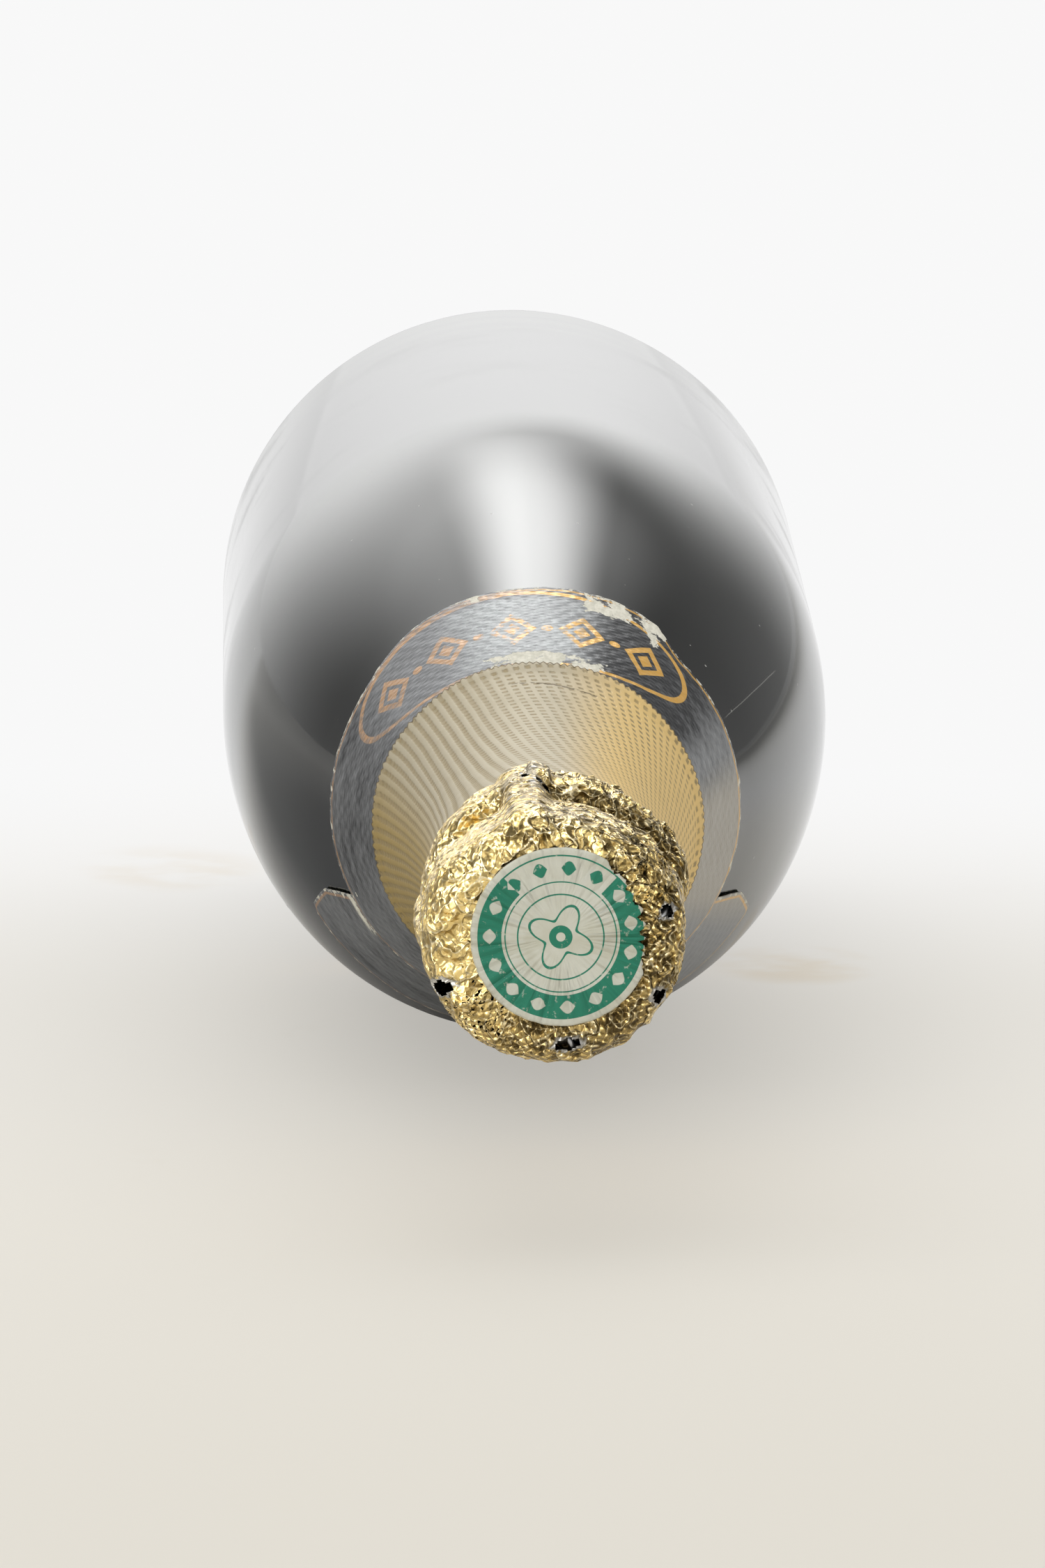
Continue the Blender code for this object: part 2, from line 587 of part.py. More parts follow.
def build_loop():
    """The untwisting loop: one wire, twisted on itself for the stem and opened into a ring for the finger.

    The ring lies bent round the bottle's ring, as it is pressed flat under the foil.
    """
    out = polar(1.0, LOOP_AZIMUTH, 0.0)
    across = polar(1.0, LOOP_AZIMUTH + pi / 2, 0.0)
    up = Vector((0.0, 0.0, 1.0))
    count = LOOP_STEM_TURNS * HELIX_POINTS
    first, second = [], []
    for i in range(count + 1):
        share = i / count
        height = BELT_HEIGHT + LOOP_STEM_LENGTH * share
        lean = min(1.0, 2.5 * share)
        radius = LOOP_ROOT + (LOOP_RADIUS_OUT - LOOP_ROOT) * lean
        centre = out * radius + up * height
        turned = LOOP_STEM_TURNS * 2 * pi * (1 - share)
        shift = (across * cos(turned) + out * sin(turned)) * PAIR_OFFSET
        first.append(centre + shift)
        second.append(centre - shift)
    ring = []
    hub = BELT_HEIGHT + LOOP_STEM_LENGTH + LOOP_RADIUS
    sweep = 2 * pi - 2 * LOOP_OPENING
    for i in range(LOOP_POINTS):
        angle = -pi / 2 + LOOP_OPENING + sweep * i / (LOOP_POINTS - 1)
        turned = LOOP_RADIUS * cos(angle) / LOOP_RADIUS_OUT
        ring.append(polar(LOOP_RADIUS_OUT, LOOP_AZIMUTH + turned, hub + LOOP_RADIUS * sin(angle)))
    points = first + ring + second[::-1]
    print("least gap of the loop's wire to itself, m:", round(least_gap(points), 6))
    return keep(wire("cage_loop", points), STEEL_WIRE)


def hood_sheet_outline():
    """The hood's inner surface between the legs, from the middle of its top down to its torn edge."""
    ring_radius = CAGE_RING_RADIUS + SHEET_GAP
    head_low = MOUTH + LEG_RISE
    groove = (RING_TOP + head_low) / 2
    crown = HOOD_TOP - HOOD_CROWN_ROUNDING
    return [
        (0.0, HOOD_TOP),
        (SEAL_RADIUS / 2, HOOD_TOP),
        *arc(HOOD_HEAD_RADIUS - HOOD_CROWN_ROUNDING, crown, HOOD_CROWN_ROUNDING, pi / 2, 0, FINE_ARC_STEP),
        (HOOD_HEAD_RADIUS, (crown + head_low) / 2),
        (HOOD_HEAD_RADIUS, head_low + LEG_RISE / 2),
        (HOOD_GROOVE_RADIUS, groove),
        (ring_radius, RING_TOP),
        (ring_radius, BELT_HEIGHT + EYELET_HALF_LENGTH),
        (ring_radius, BELT_HEIGHT),
        (ring_radius, HOOD_BOTTOM),
    ]


def ridge_radius(height):
    """How far out the foil is pushed over a leg, at one height."""
    line = leg_centre()[::-1]
    out = radius_at(line, height) + PAIR_RADIUS + SHEET_GAP
    reach = 1.8 * EYELET_HALF_LENGTH
    near_eye = max(0.0, 1.0 - max(0.0, height - BELT_HEIGHT) / reach)
    return out + (EYELET_OFFSET - PAIR_OFFSET) * near_eye


def build_hood():
    """The crumpled foil over the cork: drawn tight on the cage's legs, and torn open over the loop."""
    sheet = as_mesh(turn("foil_hood", hood_sheet_outline(), HOOD_FACETS), bottle_parts)
    highest_ridge = LEG_TOP - LEG_BEND
    for vertex in sheet.data.vertices:
        x, y, z = vertex.co
        radius = hypot(x, y)
        if radius < CAGE_TOP_RADIUS:
            continue
        azimuth = atan2(y, x) - LEG_AZIMUTH
        pitch = 2 * pi / LEG_COUNT
        beside = abs((azimuth + pitch / 2) % pitch - pitch / 2) * radius
        share = 1 - min(1.0, max(0.0, beside - HOOD_RIDGE_HALF_WIDTH) / HOOD_RIDGE_FALL)
        share = share * share * (3 - 2 * share)
        pushed = ridge_radius(min(z, highest_ridge))
        if z > highest_ridge:
            pushed = radius + (pushed - HOOD_HEAD_RADIUS) * (HOOD_TOP - z) / (HOOD_TOP - highest_ridge)
        radius_new = radius + max(0.0, pushed - radius) * share
        vertex.co = (x * radius_new / radius, y * radius_new / radius, z)
    foil = sheet.modifiers.new("foil", "SOLIDIFY")
    foil.thickness = FOIL_THICKNESS
    foil.offset = 1
    foil.use_even_offset = True
    sheet.data.materials.append(HOOD_GOLD)

    notch_top = loop_top() + TAB_GAP * 2
    notch_bottom = HOOD_BOTTOM - CUT_OVERRUN
    bpy.ops.mesh.primitive_cube_add(size=1)
    cutter = bpy.context.object
    cutter.name = "loop_notch"
    depth = HOOD_HEAD_RADIUS + CUT_OVERRUN
    cutter.data.transform(Matrix.Diagonal((depth, 2 * (TAB_HALF_WIDTH + TAB_GAP), notch_top - notch_bottom, 1)))
    cutter.location = polar(depth / 2 + CAGE_TOP_RADIUS / 2, LOOP_AZIMUTH, (notch_top + notch_bottom) / 2)
    cutter.rotation_euler.z = LOOP_AZIMUTH
    for home in list(cutter.users_collection):
        home.objects.unlink(cutter)
    cutters.objects.link(cutter)
    cutter.hide_render = True
    cutter.display_type = "WIRE"
    notch = sheet.modifiers.new("loop_notch", "BOOLEAN")
    notch.object = cutter
    notch.operation = "DIFFERENCE"
    notch.solver = "EXACT"
    return sheet, cutter


def loop_top():
    return BELT_HEIGHT + LOOP_STEM_LENGTH + 2 * LOOP_RADIUS + WIRE_RADIUS


def build_tab():
    """The tab of foil that covers the loop and is pulled up with it. Its middle is ridged over the stem."""
    inner = LOOP_RADIUS_OUT + WIRE_RADIUS + SHEET_GAP
    ridge = LOOP_RADIUS_OUT + PAIR_RADIUS + SHEET_GAP
    half_span = TAB_HALF_WIDTH / inner
    low, high = BELT_HEIGHT + 2 * WIRE_RADIUS, loop_top() + TAB_GAP
    mesh = bpy.data.meshes.new("foil_tab")
    sheet = bmesh.new()
    bmesh.ops.create_grid(sheet, x_segments=TAB_COLUMNS, y_segments=TAB_COLUMNS, size=1)
    for vertex in sheet.verts:
        azimuth = LOOP_AZIMUTH + vertex.co.x * half_span
        over_stem = abs(vertex.co.x) < 2.5 / TAB_COLUMNS
        height = low + (vertex.co.y + 1) / 2 * (high - low)
        vertex.co = polar(ridge if over_stem else inner, azimuth, height)
    sheet.to_mesh(mesh)
    sheet.free()
    tab = keep(bpy.data.objects.new("foil_tab", mesh), TAB_GOLD)
    foil = tab.modifiers.new("foil", "SOLIDIFY")
    foil.thickness = FOIL_THICKNESS
    foil.offset = 1
    foil.use_even_offset = True
    return tab


def build_top_seal():
    low = HOOD_TOP + FOIL_THICKNESS + SHEET_GAP
    outline = [(0.0, SEAL_TOP), (SEAL_RADIUS, SEAL_TOP), (SEAL_RADIUS, low), (0.0, low)]
    return keep(turn("top_seal", outline, HEAD_FACETS), SEAL_PAPER)


def add_empty(name, location, parent=None):
    empty = bpy.data.objects.new(name, None)
    bottle_parts.objects.link(empty)
    empty.location = location
    empty.parent = parent
    return empty


def put_on(carrier, origin, pieces):
    """Parents pieces, built on the bottle's axis, to an empty at origin on that axis frame."""
    for piece in pieces:
        piece.parent = carrier
        piece.location = piece.location - origin


axis_height = BODY_RADIUS + SHEET_GAP + PAPER_THICKNESS
bottle_axis = add_empty("bottle_axis", (0.0, SEAL_TOP / 2, axis_height))
bottle_axis.rotation_euler.x = pi / 2
cork_axis = add_empty("cork_axis", (0.0, 0.0, 0.0), bottle_axis)
cage_axis = add_empty("cage_axis", (0.0, 0.0, 0.0), cork_axis)
hood_axis = add_empty("hood_axis", (0.0, 0.0, 0.0), cage_axis)
loop_hinge_place = polar(LOOP_ROOT, LOOP_AZIMUTH, BELT_HEIGHT)
loop_hinge = add_empty("loop_hinge", loop_hinge_place, cage_axis)

on_axis = Vector((0.0, 0.0, 0.0))
put_on(bottle_axis, on_axis, [build_glass(), build_neck_foil(), build_collar(), build_shoulder_label(),
                              build_front_label()])
put_on(cork_axis, on_axis, [build_cork(), build_cork_disc("cork_disc_inner", 1),
                            build_cork_disc("cork_disc_wine_side", 0)])
put_on(cage_axis, on_axis, [build_crown_plate(), *build_cage_wires(), build_belt()])
put_on(hood_axis, on_axis, [*build_hood(), build_top_seal()])
put_on(loop_hinge, loop_hinge_place, [build_loop(), build_tab()])
bpy.context.view_layer.update()
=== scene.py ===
from math import asin, atan2, cos, hypot, pi, radians, sin, tan

import bmesh
import bpy
import numpy as np
from mathutils import Matrix, Vector, noise


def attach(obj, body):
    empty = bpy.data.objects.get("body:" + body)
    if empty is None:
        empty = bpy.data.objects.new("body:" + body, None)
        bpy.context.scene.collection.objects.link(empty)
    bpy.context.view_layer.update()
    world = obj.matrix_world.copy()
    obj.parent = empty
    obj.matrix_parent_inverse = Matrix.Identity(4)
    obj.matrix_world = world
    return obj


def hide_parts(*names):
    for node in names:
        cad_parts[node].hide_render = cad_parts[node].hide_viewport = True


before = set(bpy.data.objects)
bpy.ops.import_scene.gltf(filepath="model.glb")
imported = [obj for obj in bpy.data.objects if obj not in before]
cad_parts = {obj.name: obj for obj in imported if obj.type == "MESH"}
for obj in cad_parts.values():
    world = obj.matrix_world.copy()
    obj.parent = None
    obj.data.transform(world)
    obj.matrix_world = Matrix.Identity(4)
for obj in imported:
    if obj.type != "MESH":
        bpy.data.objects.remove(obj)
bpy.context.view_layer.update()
scene = bpy.context.scene

# The photographer's table: a long lens looks at the cork from a little above, and a pale floor runs back into a
# white sweep. Gloss and glass see that sweep low down, a dark room over it, a soft box behind the bottle and
# another up on the left.
REAR = 0.1619893      # how far behind the middle the bottle's base lies
AXIS = 0.04475        # height of the bottle's axis over the floor
LENS_DISTANCE = 2.3   # from the lens to the point that it is aimed at
LENS_AIM = 0.130      # how far in front of the base that point is
LENS_PIXELS = 22546   # focal length in pixels of a picture 2250 high
SENSOR, PICTURE_HEIGHT = 36, 2250

tilt, swing, roll = radians(9.08), radians(1.164), radians(0.63)
sight = Vector((sin(swing) * cos(tilt), cos(swing) * cos(tilt), -sin(tilt)))
level = Vector((cos(swing), -sin(swing), 0))
upright = level.cross(sight)
right = level * cos(roll) + upright * sin(roll)
up = upright * cos(roll) - level * sin(roll)
stand = Vector((0, REAR - LENS_AIM, AXIS)) - sight * LENS_DISTANCE - right * 0.000339 - up * 0.0098


def placed(name, data):
    """A new object with this data, in the scene."""
    thing = bpy.data.objects.new(name, data)
    scene.collection.objects.link(thing)
    return thing


optics = bpy.data.cameras.new("long_lens")
optics.lens = LENS_PIXELS * SENSOR / PICTURE_HEIGHT
optics.clip_start, optics.clip_end = 0.1, 20
scene.camera = placed("long_lens", optics)
scene.camera.matrix_world = Matrix.Translation(stand) @ Matrix((right, up, -sight)).transposed().to_4x4()
scene.view_settings.view_transform = "Standard"


class Tone:
    """A value on its way through a finish. Its operators add Math nodes, so that masks read as plain sums."""

    def __init__(self, finish, socket):
        self.finish, self.socket = finish, socket

    def reckon(self, operation, *others):
        return self.finish.add("Math", {"operation": operation}, [self, *others])

    def __add__(self, other): return self.reckon("ADD", other)
    def __sub__(self, other): return self.reckon("SUBTRACT", other)
    def __mul__(self, other): return self.reckon("MULTIPLY", other)
    def __truediv__(self, other): return self.reckon("DIVIDE", other)
    def __pow__(self, other): return self.reckon("POWER", other)
    def __rsub__(self, other): return self.finish.add("Math", {"operation": "SUBTRACT"}, [other, self])
    def __neg__(self): return self * -1
    def __abs__(self): return self.reckon("ABSOLUTE")
    def __gt__(self, other): return self.reckon("GREATER_THAN", other)
    def __lt__(self, other): return self.reckon("LESS_THAN", other)
    __radd__ = __add__
    __rmul__ = __mul__

    def wave(self): return self.reckon("SINE")
    def most(self, other): return self.reckon("MAXIMUM", other)
    def least(self, other): return self.reckon("MINIMUM", other)

    def off(self, middle):
        """The square of how far a value is off another."""
        return (self - middle) * (self - middle)

    def eased(self, low, high):
        """Runs smoothly from 0 at low to 1 at high."""
        return self.finish.add("MapRange", {"interpolation_type": "SMOOTHSTEP"}, {0: self, 1: low, 2: high})

    def line(self, middle, half_width, soft=0.00005):
        """1 on a line round a value, 0 off it."""
        return abs(self - middle).eased(half_width + soft, half_width)

    def tint(self, without, with_it):
        """One colour where the mask is 0 and another where it is 1."""
        return self.finish.add("Mix", {"data_type": "RGBA"}, {0: self, 6: without, 7: with_it}, 2)


class Finish:
    """The nodes of one finish. add() puts in a node by its kind, its settings and the values of its sockets."""

    def __init__(self, owner):
        owner.use_nodes = True
        self.owner, self.nodes, self.links = owner, owner.node_tree.nodes, owner.node_tree.links

    def feed(self, node, values):
        for name, value in values.items() if isinstance(values, dict) else enumerate(values):
            socket = node.inputs[name]
            if isinstance(value, Tone):
                self.links.new(value.socket, socket)
            elif socket.type == "RGBA":
                socket.default_value = (*value[:3], 1)
            else:
                socket.default_value = value

    def add(self, kind, settings={}, values={}, output=0):
        node = self.nodes.new("ShaderNode" + kind)
        for name, value in settings.items():
            setattr(node, name, value)
        self.feed(node, values)
        return Tone(self, node.outputs[output])

    def split(self, vector):
        parts = self.add("SeparateXYZ", {}, [vector]).socket.node
        return [Tone(self, socket) for socket in parts.outputs]

    def mark(self, name):
        """A value that a sheet's points carry."""
        return self.add("Attribute", {"attribute_name": name}, output="Fac")

    def rays(self):
        """1 for rays on their way to gloss or glass, else 0, and 1 for rays straight to the camera, else 0."""
        ray = self.add("LightPath").socket.node.outputs
        kinds = "Is Glossy Ray", "Is Transmission Ray", "Is Camera Ray"
        gloss, glass, straight = (Tone(self, ray[kind]) for kind in kinds)
        return gloss.most(glass), straight

    def vector(self, operation, *values, output=0):
        return self.add("VectorMath", {"operation": operation}, values, output)

    def scaled(self, vector, factor):
        return self.add("VectorMath", {"operation": "SCALE"}, {"Vector": vector, "Scale": factor})

    def on_bottle(self):
        """Where a point is on the bottle: place, height over the base, clock angle and distance off the axis."""
        place = self.add("TexCoord", output="Object")
        x, y, z = self.split(place)
        z = z - AXIS
        return place, REAR - y, x.reckon("ARCTAN2", z), (x * x + z * z) ** 0.5

    def grain(self, place, size, detail=2, roughness=0.5, stretch=None):
        """Cloudy noise from 0 to 1 whose lumps are about this size, in metres."""
        if stretch:
            place = self.vector("MULTIPLY", place, stretch)
        return self.add("TexNoise", {}, {"Vector": place, "Scale": 1 / size, "Detail": detail,
                                         "Roughness": roughness})

    def cells(self, place, size, feature="F1", output="Distance"):
        return self.add("TexVoronoi", {"feature": feature}, {"Vector": place, "Scale": 1 / size}, output)

    def tilted(self, place, size, slope):
        """The height, in metres, of flat facets about this size that lean at random, as in crushed foil."""
        cells = self.add("TexVoronoi", {}, {"Vector": place, "Scale": 1 / size}).socket.node
        middle, lean = Tone(self, cells.outputs["Position"]), Tone(self, cells.outputs["Color"])
        away = self.vector("SUBTRACT", self.scaled(place, 1 / size), middle)
        lean = self.vector("SUBTRACT", lean, (0.5, 0.5, 0.5))
        return self.vector("DOT_PRODUCT", away, lean, output="Value") * (size * slope * 2)

    def relief(self, height, depth, strength=1.0, over=None):
        """A bump of this depth in metres, over another bump where one is given."""
        values = {"Height": height, "Distance": depth, "Strength": strength}
        if over:
            values["Normal"] = over
        return self.add("Bump", {}, values)

    def surface(self, **values):
        """Sets the shader's sockets. An underscore in a name stands for a space."""
        shader = self.nodes["Principled BSDF"]
        self.feed(shader, {name.replace("_", " "): value for name, value in values.items()})
        return Tone(self, shader.outputs[0])


def new_finish(name):
    return Finish(bpy.data.materials.new(name))


FLOOR_BEHIND = 1.5  # how far the floor's middle lies behind the bottle's
bpy.ops.mesh.primitive_plane_add(size=8, location=(0, FLOOR_BEHIND, 0))
floor = bpy.context.object
floor.name = "floor"
paint = new_finish("floor_paint")
spot = paint.add("TexCoord", output="Object")
x, y, z = paint.split(spot)
y = y + FLOOR_BEHIND
gloss, straight = paint.rays()
away = (x * x + y * y) ** 0.5
aside = (x / away).eased(0.10, 0.52) * away.eased(0.5, 1.6)
aside = aside.most((x / away).eased(-0.36, -0.50) * away.eased(0.2, 0.6) * 0.75)
dark = (-x - y * 0.42).eased(-0.02, 0.05) * (1 - away.eased(0.1, 1.0) * 0.5)
dark = dark.most(x.eased(0.10, 0.90) * y.eased(2.5, 1.6) * 0.8) * y.eased(-0.12, 0.0) * gloss
scuff = (paint.grain(spot, 0.05, 5, 0.7, (1, 0.45, 1)) - 0.1 * paint.grain(spot, 0.004, 2)).eased(0.56, 0.80)
# Painted shade: a broad patch of floor in front of the bottle is painted darker.
painted_front_shade = (x * x * 9 + y.off(-0.6)).eased(0.50, 0.02)
spill = (x.off(-0.052) * 9 + y.off(0.165) * 4).eased(0.0026, 0.0003)
spill = spill.most((x.off(0.042) * 6 + y.off(0.08) * 3).eased(0.0012, 0.0002) * 0.6)
boards = (scuff * 0.5).tint(painted_front_shade.tint((0.83, 0.805, 0.75), (0.74, 0.705, 0.63)), (0.74, 0.70, 0.61))
boards = (spill * paint.grain(spot, 0.02, 3).eased(0.35, 0.60) * 0.7).tint(boards, (0.72, 0.60, 0.42))
paper = paint.surface(Base_Color=dark.tint(boards, (0.20, 0.20, 0.20)), Roughness=0.9)
haze = paint.add("Emission", {}, {"Color": boards, "Strength": 1.0})
white = paint.add("Emission", {}, {"Color": (1, 1, 1), "Strength": 0.94 + gloss * (0.04 - aside * 0.60)})
far = (y + abs(x) * 0.2).eased(0.04, 0.28)
mixed = paint.add("MixShader", {}, [straight * 0.55, paper, haze])
mixed = paint.add("MixShader", {}, [far * (1 - dark), mixed, white])
paint.links.new(mixed.socket, paint.nodes["Material Output"].inputs["Surface"])
floor.data.materials.append(paint.owner)

scene.world = bpy.data.worlds.new("studio")
sky = Finish(scene.world)
x, y, z = sky.split(sky.add("TexCoord", output="Generated"))
sweep = z.eased(0.44, 0.12) * x.eased(-0.68, -0.20) * x.eased(0.48, 0.08) * (z.most(0.0) * 3.4 + 0.80)
glow_left = x.eased(0.12, -0.10) * x.eased(-0.72, -0.25) * z.eased(0.12, 0.50)
glow_right = z.eased(0.35, 0.60) * x.eased(0.50, 0.20) * x.eased(0.0, 0.12)
box_behind = (abs(x - 0.01) / (z * 0.30 + 0.085)).eased(1.0, 0.05) * (z - 0.28).most(0.0) * z.eased(0.95, 0.80)
behind = y.eased(0.15, 0.5)
window = (x * -0.62 + y * -0.45 + z * 0.64).eased(0.78, 0.94)
lining = (x * 0.80 + y * -0.55 + z * 0.22).eased(0.80, 0.93)
front = y.eased(0.1, -0.4)
seen = behind * (sweep + glow_left * 1.75 + glow_right * 0.8 + box_behind * 14.0) + 0.30
seen = seen + window * 3.4 + lining * 0.9 + front * (x.eased(0.6, -0.4) * 0.45 + x.eased(-0.2, -0.8) * 0.75)
gloss, straight = sky.rays()
strength = straight * 0.94 + (1 - straight) * (gloss * seen + (1 - gloss) * 0.70)
sky.feed(sky.nodes["Background"], {"Color": (1, 1, 1), "Strength": strength})

for name, spot, aim, size, energy in (
        ("key_left", (-0.60, -0.45, 1.25), (0, -0.1, 0.04), 1.4, 5.2),
        ("over_behind", (0.30, 0.40, 1.3), (0, -0.05, 0.04), 1.6, 5.2)):
    light = bpy.data.lights.new(name, "AREA")
    light.size, light.energy = size, energy
    lamp = placed(name, light)
    lamp.location, lamp.visible_glossy, lamp.visible_transmission = spot, False, False
    lamp.rotation_euler = (Vector(aim) - Vector(spot)).to_track_quat("-Z", "Y").to_euler()

# The bottle is one piece of dark olive glass, blown into a mould: thick walls, a punt pushed up into the base, a
# crown lip and under it the ring that the wire cage grips. Dust and a fine scratch lie on it.
BODY, WALL, HEEL, STANDING_RING = 0.0442, 0.0036, 0.0077, 0.003
PUNT, DOME, BASE_WALL, TROUGH = 0.032, 0.014, 0.0045, 0.005
SHOULDER, NECK_CURVE, NECK, LEAN = 0.258, 0.160, 0.0153, radians(18.5)
SHOULDER_FOOT, RING_FOOT, MOUTH = 0.122, 0.2895086, 0.3050086
RING, LIP, BORE = 0.0163, 0.0143, 0.0088


def bend(height, radius, size, start, end, steps):
    """Points (height, radius) along an arc round a centre, from one angle to another."""
    angles = [start + (end - start) * i / steps for i in range(steps + 1)]
    return [(height + size * sin(a), radius + size * cos(a)) for a in angles]


def weld(distance, all_outwards=True):
    """Joins the points of the active piece that lie closer together than this."""
    bpy.ops.object.mode_set(mode="EDIT")
    bpy.ops.mesh.select_all(action="SELECT")
    bpy.ops.mesh.remove_doubles(threshold=distance)
    if all_outwards:
        bpy.ops.mesh.normals_make_consistent(inside=False)
    bpy.ops.object.mode_set(mode="OBJECT")


def turned(name, outline, facets):
    """A piece spun round the bottle's axis from an outline of (height over the base, radius)."""
    points = [Vector((0, REAR - height, AXIS + radius)) for height, radius in outline]
    bpy.ops.mesh.primitive_plane_add(size=0.001)
    piece = bpy.context.object
    piece.name = piece.data.name = name
    bpy.ops.object.mode_set(mode="EDIT")
    bpy.ops.mesh.merge(type="CENTER")
    bpy.ops.transform.translate(value=points[0])
    for before, after in zip(points, points[1:]):
        bpy.ops.mesh.extrude_region_move(TRANSFORM_OT_translate={"value": after - before})
    bpy.ops.mesh.select_all(action="SELECT")
    bpy.ops.mesh.spin(steps=facets, angle=2 * pi, center=(0, 0, AXIS), axis=(0, 1, 0))
    weld(0.000008)
    bpy.ops.object.shade_smooth_by_angle(angle=radians(38))
    return piece


narrowing = (SHOULDER + NECK_CURVE) * (1 - cos(LEAN))
cone_foot = SHOULDER_FOOT + SHOULDER * sin(LEAN)
cone_top = cone_foot + (BODY - NECK - narrowing) / tan(LEAN)
neck_foot = cone_top + NECK_CURVE * sin(LEAN)
outside = [
    *bend(HEEL, BODY - HEEL, HEEL, -pi / 2, 0, 10),
    *bend(SHOULDER_FOOT, BODY - SHOULDER, SHOULDER, 0, LEAN, 20),
    *bend(neck_foot, NECK + NECK_CURVE, NECK_CURVE, pi + LEAN, pi, 16),
    (RING_FOOT, NECK),
    *bend(RING_FOOT + 0.0022, RING - 0.0005, 0.0005, -0.9, 0, 3),
    *bend(RING_FOOT + 0.0051, RING - 0.0009, 0.0009, 0, pi / 2, 5),
    (RING_FOOT + 0.0064, 0.0136),
    (RING_FOOT + 0.0082, 0.0133),
    (RING_FOOT + 0.0098, 0.0133),
    (RING_FOOT + 0.0110, LIP),
    *bend(MOUTH - 0.0013, LIP - 0.0013, 0.0013, 0, pi / 2, 6),
]
punt_edge = BODY - HEEL - STANDING_RING
dome_middle = PUNT - DOME
slope = pi / 2 - (asin(DOME / hypot(punt_edge, dome_middle)) + atan2(dome_middle, punt_edge))
dome = bend(dome_middle, 0, DOME, pi / 2, slope, 8)
dome_inside = bend(dome_middle, 0, DOME + BASE_WALL, pi / 2, slope, 8)
trough = BODY - WALL - TROUGH
trough_height = (dome_middle * sin(slope) + DOME + BASE_WALL + TROUGH - trough * cos(slope)) / sin(slope)
inside = [
    (PUNT + BASE_WALL, 0),
    *dome_inside[1:],
    *bend(trough_height, trough, TROUGH, pi + slope, 2 * pi, 8),
    *bend(SHOULDER_FOOT, BODY - SHOULDER, SHOULDER - WALL, 0, LEAN, 20),
    (MOUTH - 0.050, 0.01015),
    (MOUTH - 0.046, 0.0097),
    (MOUTH - 0.030, BORE),
    (MOUTH - 0.0005, BORE),
    (MOUTH, BORE + 0.0005),
]
glass = turned("bottle_glass", inside + outside[::-1] + [(0, punt_edge)] + dome[::-1][:-1] + [(PUNT, 0)], 160)
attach(glass, "bottle")
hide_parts("glass_bottle")

olive = new_finish("olive_glass")
place, height, clock, off_axis = olive.on_bottle()
smear = olive.grain(place, 0.02, 3)
clear = olive.surface(Base_Color=(0.030, 0.035, 0.021), Roughness=0.05 + smear.eased(0.45, 0.8) * 0.08,
                      IOR=1.52, Transmission_Weight=1.0)
speck = olive.cells(place, 0.0042).eased(0.055, 0.035) * olive.grain(place, 0.009, 1).eased(0.50, 0.60)
waver = (olive.grain(place, 0.02, 1) - 0.5) * 0.012
scratch = (clock - 1.14 - (0.2076 - height) * 1.08 + waver).line(0, 0.0016, 0.0016)
scratch = scratch * height.line(0.1938, 0.0125, 0.003)
dust = olive.add("BsdfDiffuse", {}, {"Color": (0.62, 0.62, 0.58)})
mixed = olive.add("MixShader", {}, [(speck + scratch * 0.35).least(1.0) * 0.55, clear, dust])
olive.links.new(mixed.socket, olive.nodes["Material Output"].inputs["Surface"])
glass.data.materials.append(olive.owner)

# The front label is glued on the body, and the bottle lies on it. The photograph doesn't show it: it is charcoal
# paper like the collar's, with a thin gold border and a plain gold band.
PAPER, GLUE = 0.00025, 0.0003
LABEL_FOOT, LABEL_TALL, LABEL_WIDE, LABEL_SPAN = 0.038, 0.093, 0.0787, radians(51)


def glass_radius(height):
    """The glass's outside at a height, or at many."""
    shape = [(h, r) for h, r in outside if h < RING_FOOT + 0.0001]
    return np.interp(height, [h for h, r in shape], [r for h, r in shape])


def laid_on(name, columns, rows, lie, thickness, whole_turn=False):
    """A sheet. For its points (u, v), lie gives height, clock angle, radius and marks. It thickens outwards."""
    bpy.ops.mesh.primitive_grid_add(x_subdivisions=columns, y_subdivisions=rows, size=2)
    piece = bpy.context.object
    piece.name = piece.data.name = name
    flat = np.empty(len(piece.data.vertices) * 3)
    piece.data.vertices.foreach_get("co", flat)
    flat = flat.reshape(-1, 3)
    height, clock, radius, marks = lie((flat[:, 0] + 1) / 2, (flat[:, 1] + 1) / 2)
    spots = np.column_stack((radius * np.sin(clock), REAR - height, AXIS + radius * np.cos(clock)))
    piece.data.vertices.foreach_set("co", spots.ravel())
    for mark, values in marks.items():
        piece.data.attributes.new(mark, "FLOAT", "POINT").data.foreach_set("value", np.asarray(values, "f"))
    if whole_turn:
        weld(0.000002, all_outwards=False)
    piece.data.update()
    middle = piece.data.polygons[len(piece.data.polygons) // 2]
    if middle.normal.dot(middle.center - Vector((0, middle.center.y, AXIS))) < 0:
        piece.data.flip_normals()
    if thickness:
        thicken(piece, thickness)
    bpy.ops.object.shade_smooth_by_angle(angle=radians(60))
    return piece


def thicken(piece, thickness):
    bpy.ops.object.modifier_add(type="SOLIDIFY")
    wall = piece.modifiers[-1]
    wall.thickness, wall.offset, wall.use_even_offset = thickness, 1, False
    bpy.ops.object.modifier_apply(modifier=wall.name)


def lie_front(u, v):
    height = LABEL_FOOT + v * LABEL_TALL
    edge = np.minimum(np.minimum(u, 1 - u) * LABEL_WIDE, np.minimum(v, 1 - v) * LABEL_TALL)
    clock = pi + (u - 0.5) * 2 * LABEL_SPAN
    return height, clock, glass_radius(height) + GLUE, {"edge": edge}


front = laid_on("front_label_paper", 72, 40, lie_front, PAPER)
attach(front, "bottle")
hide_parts("front_label")

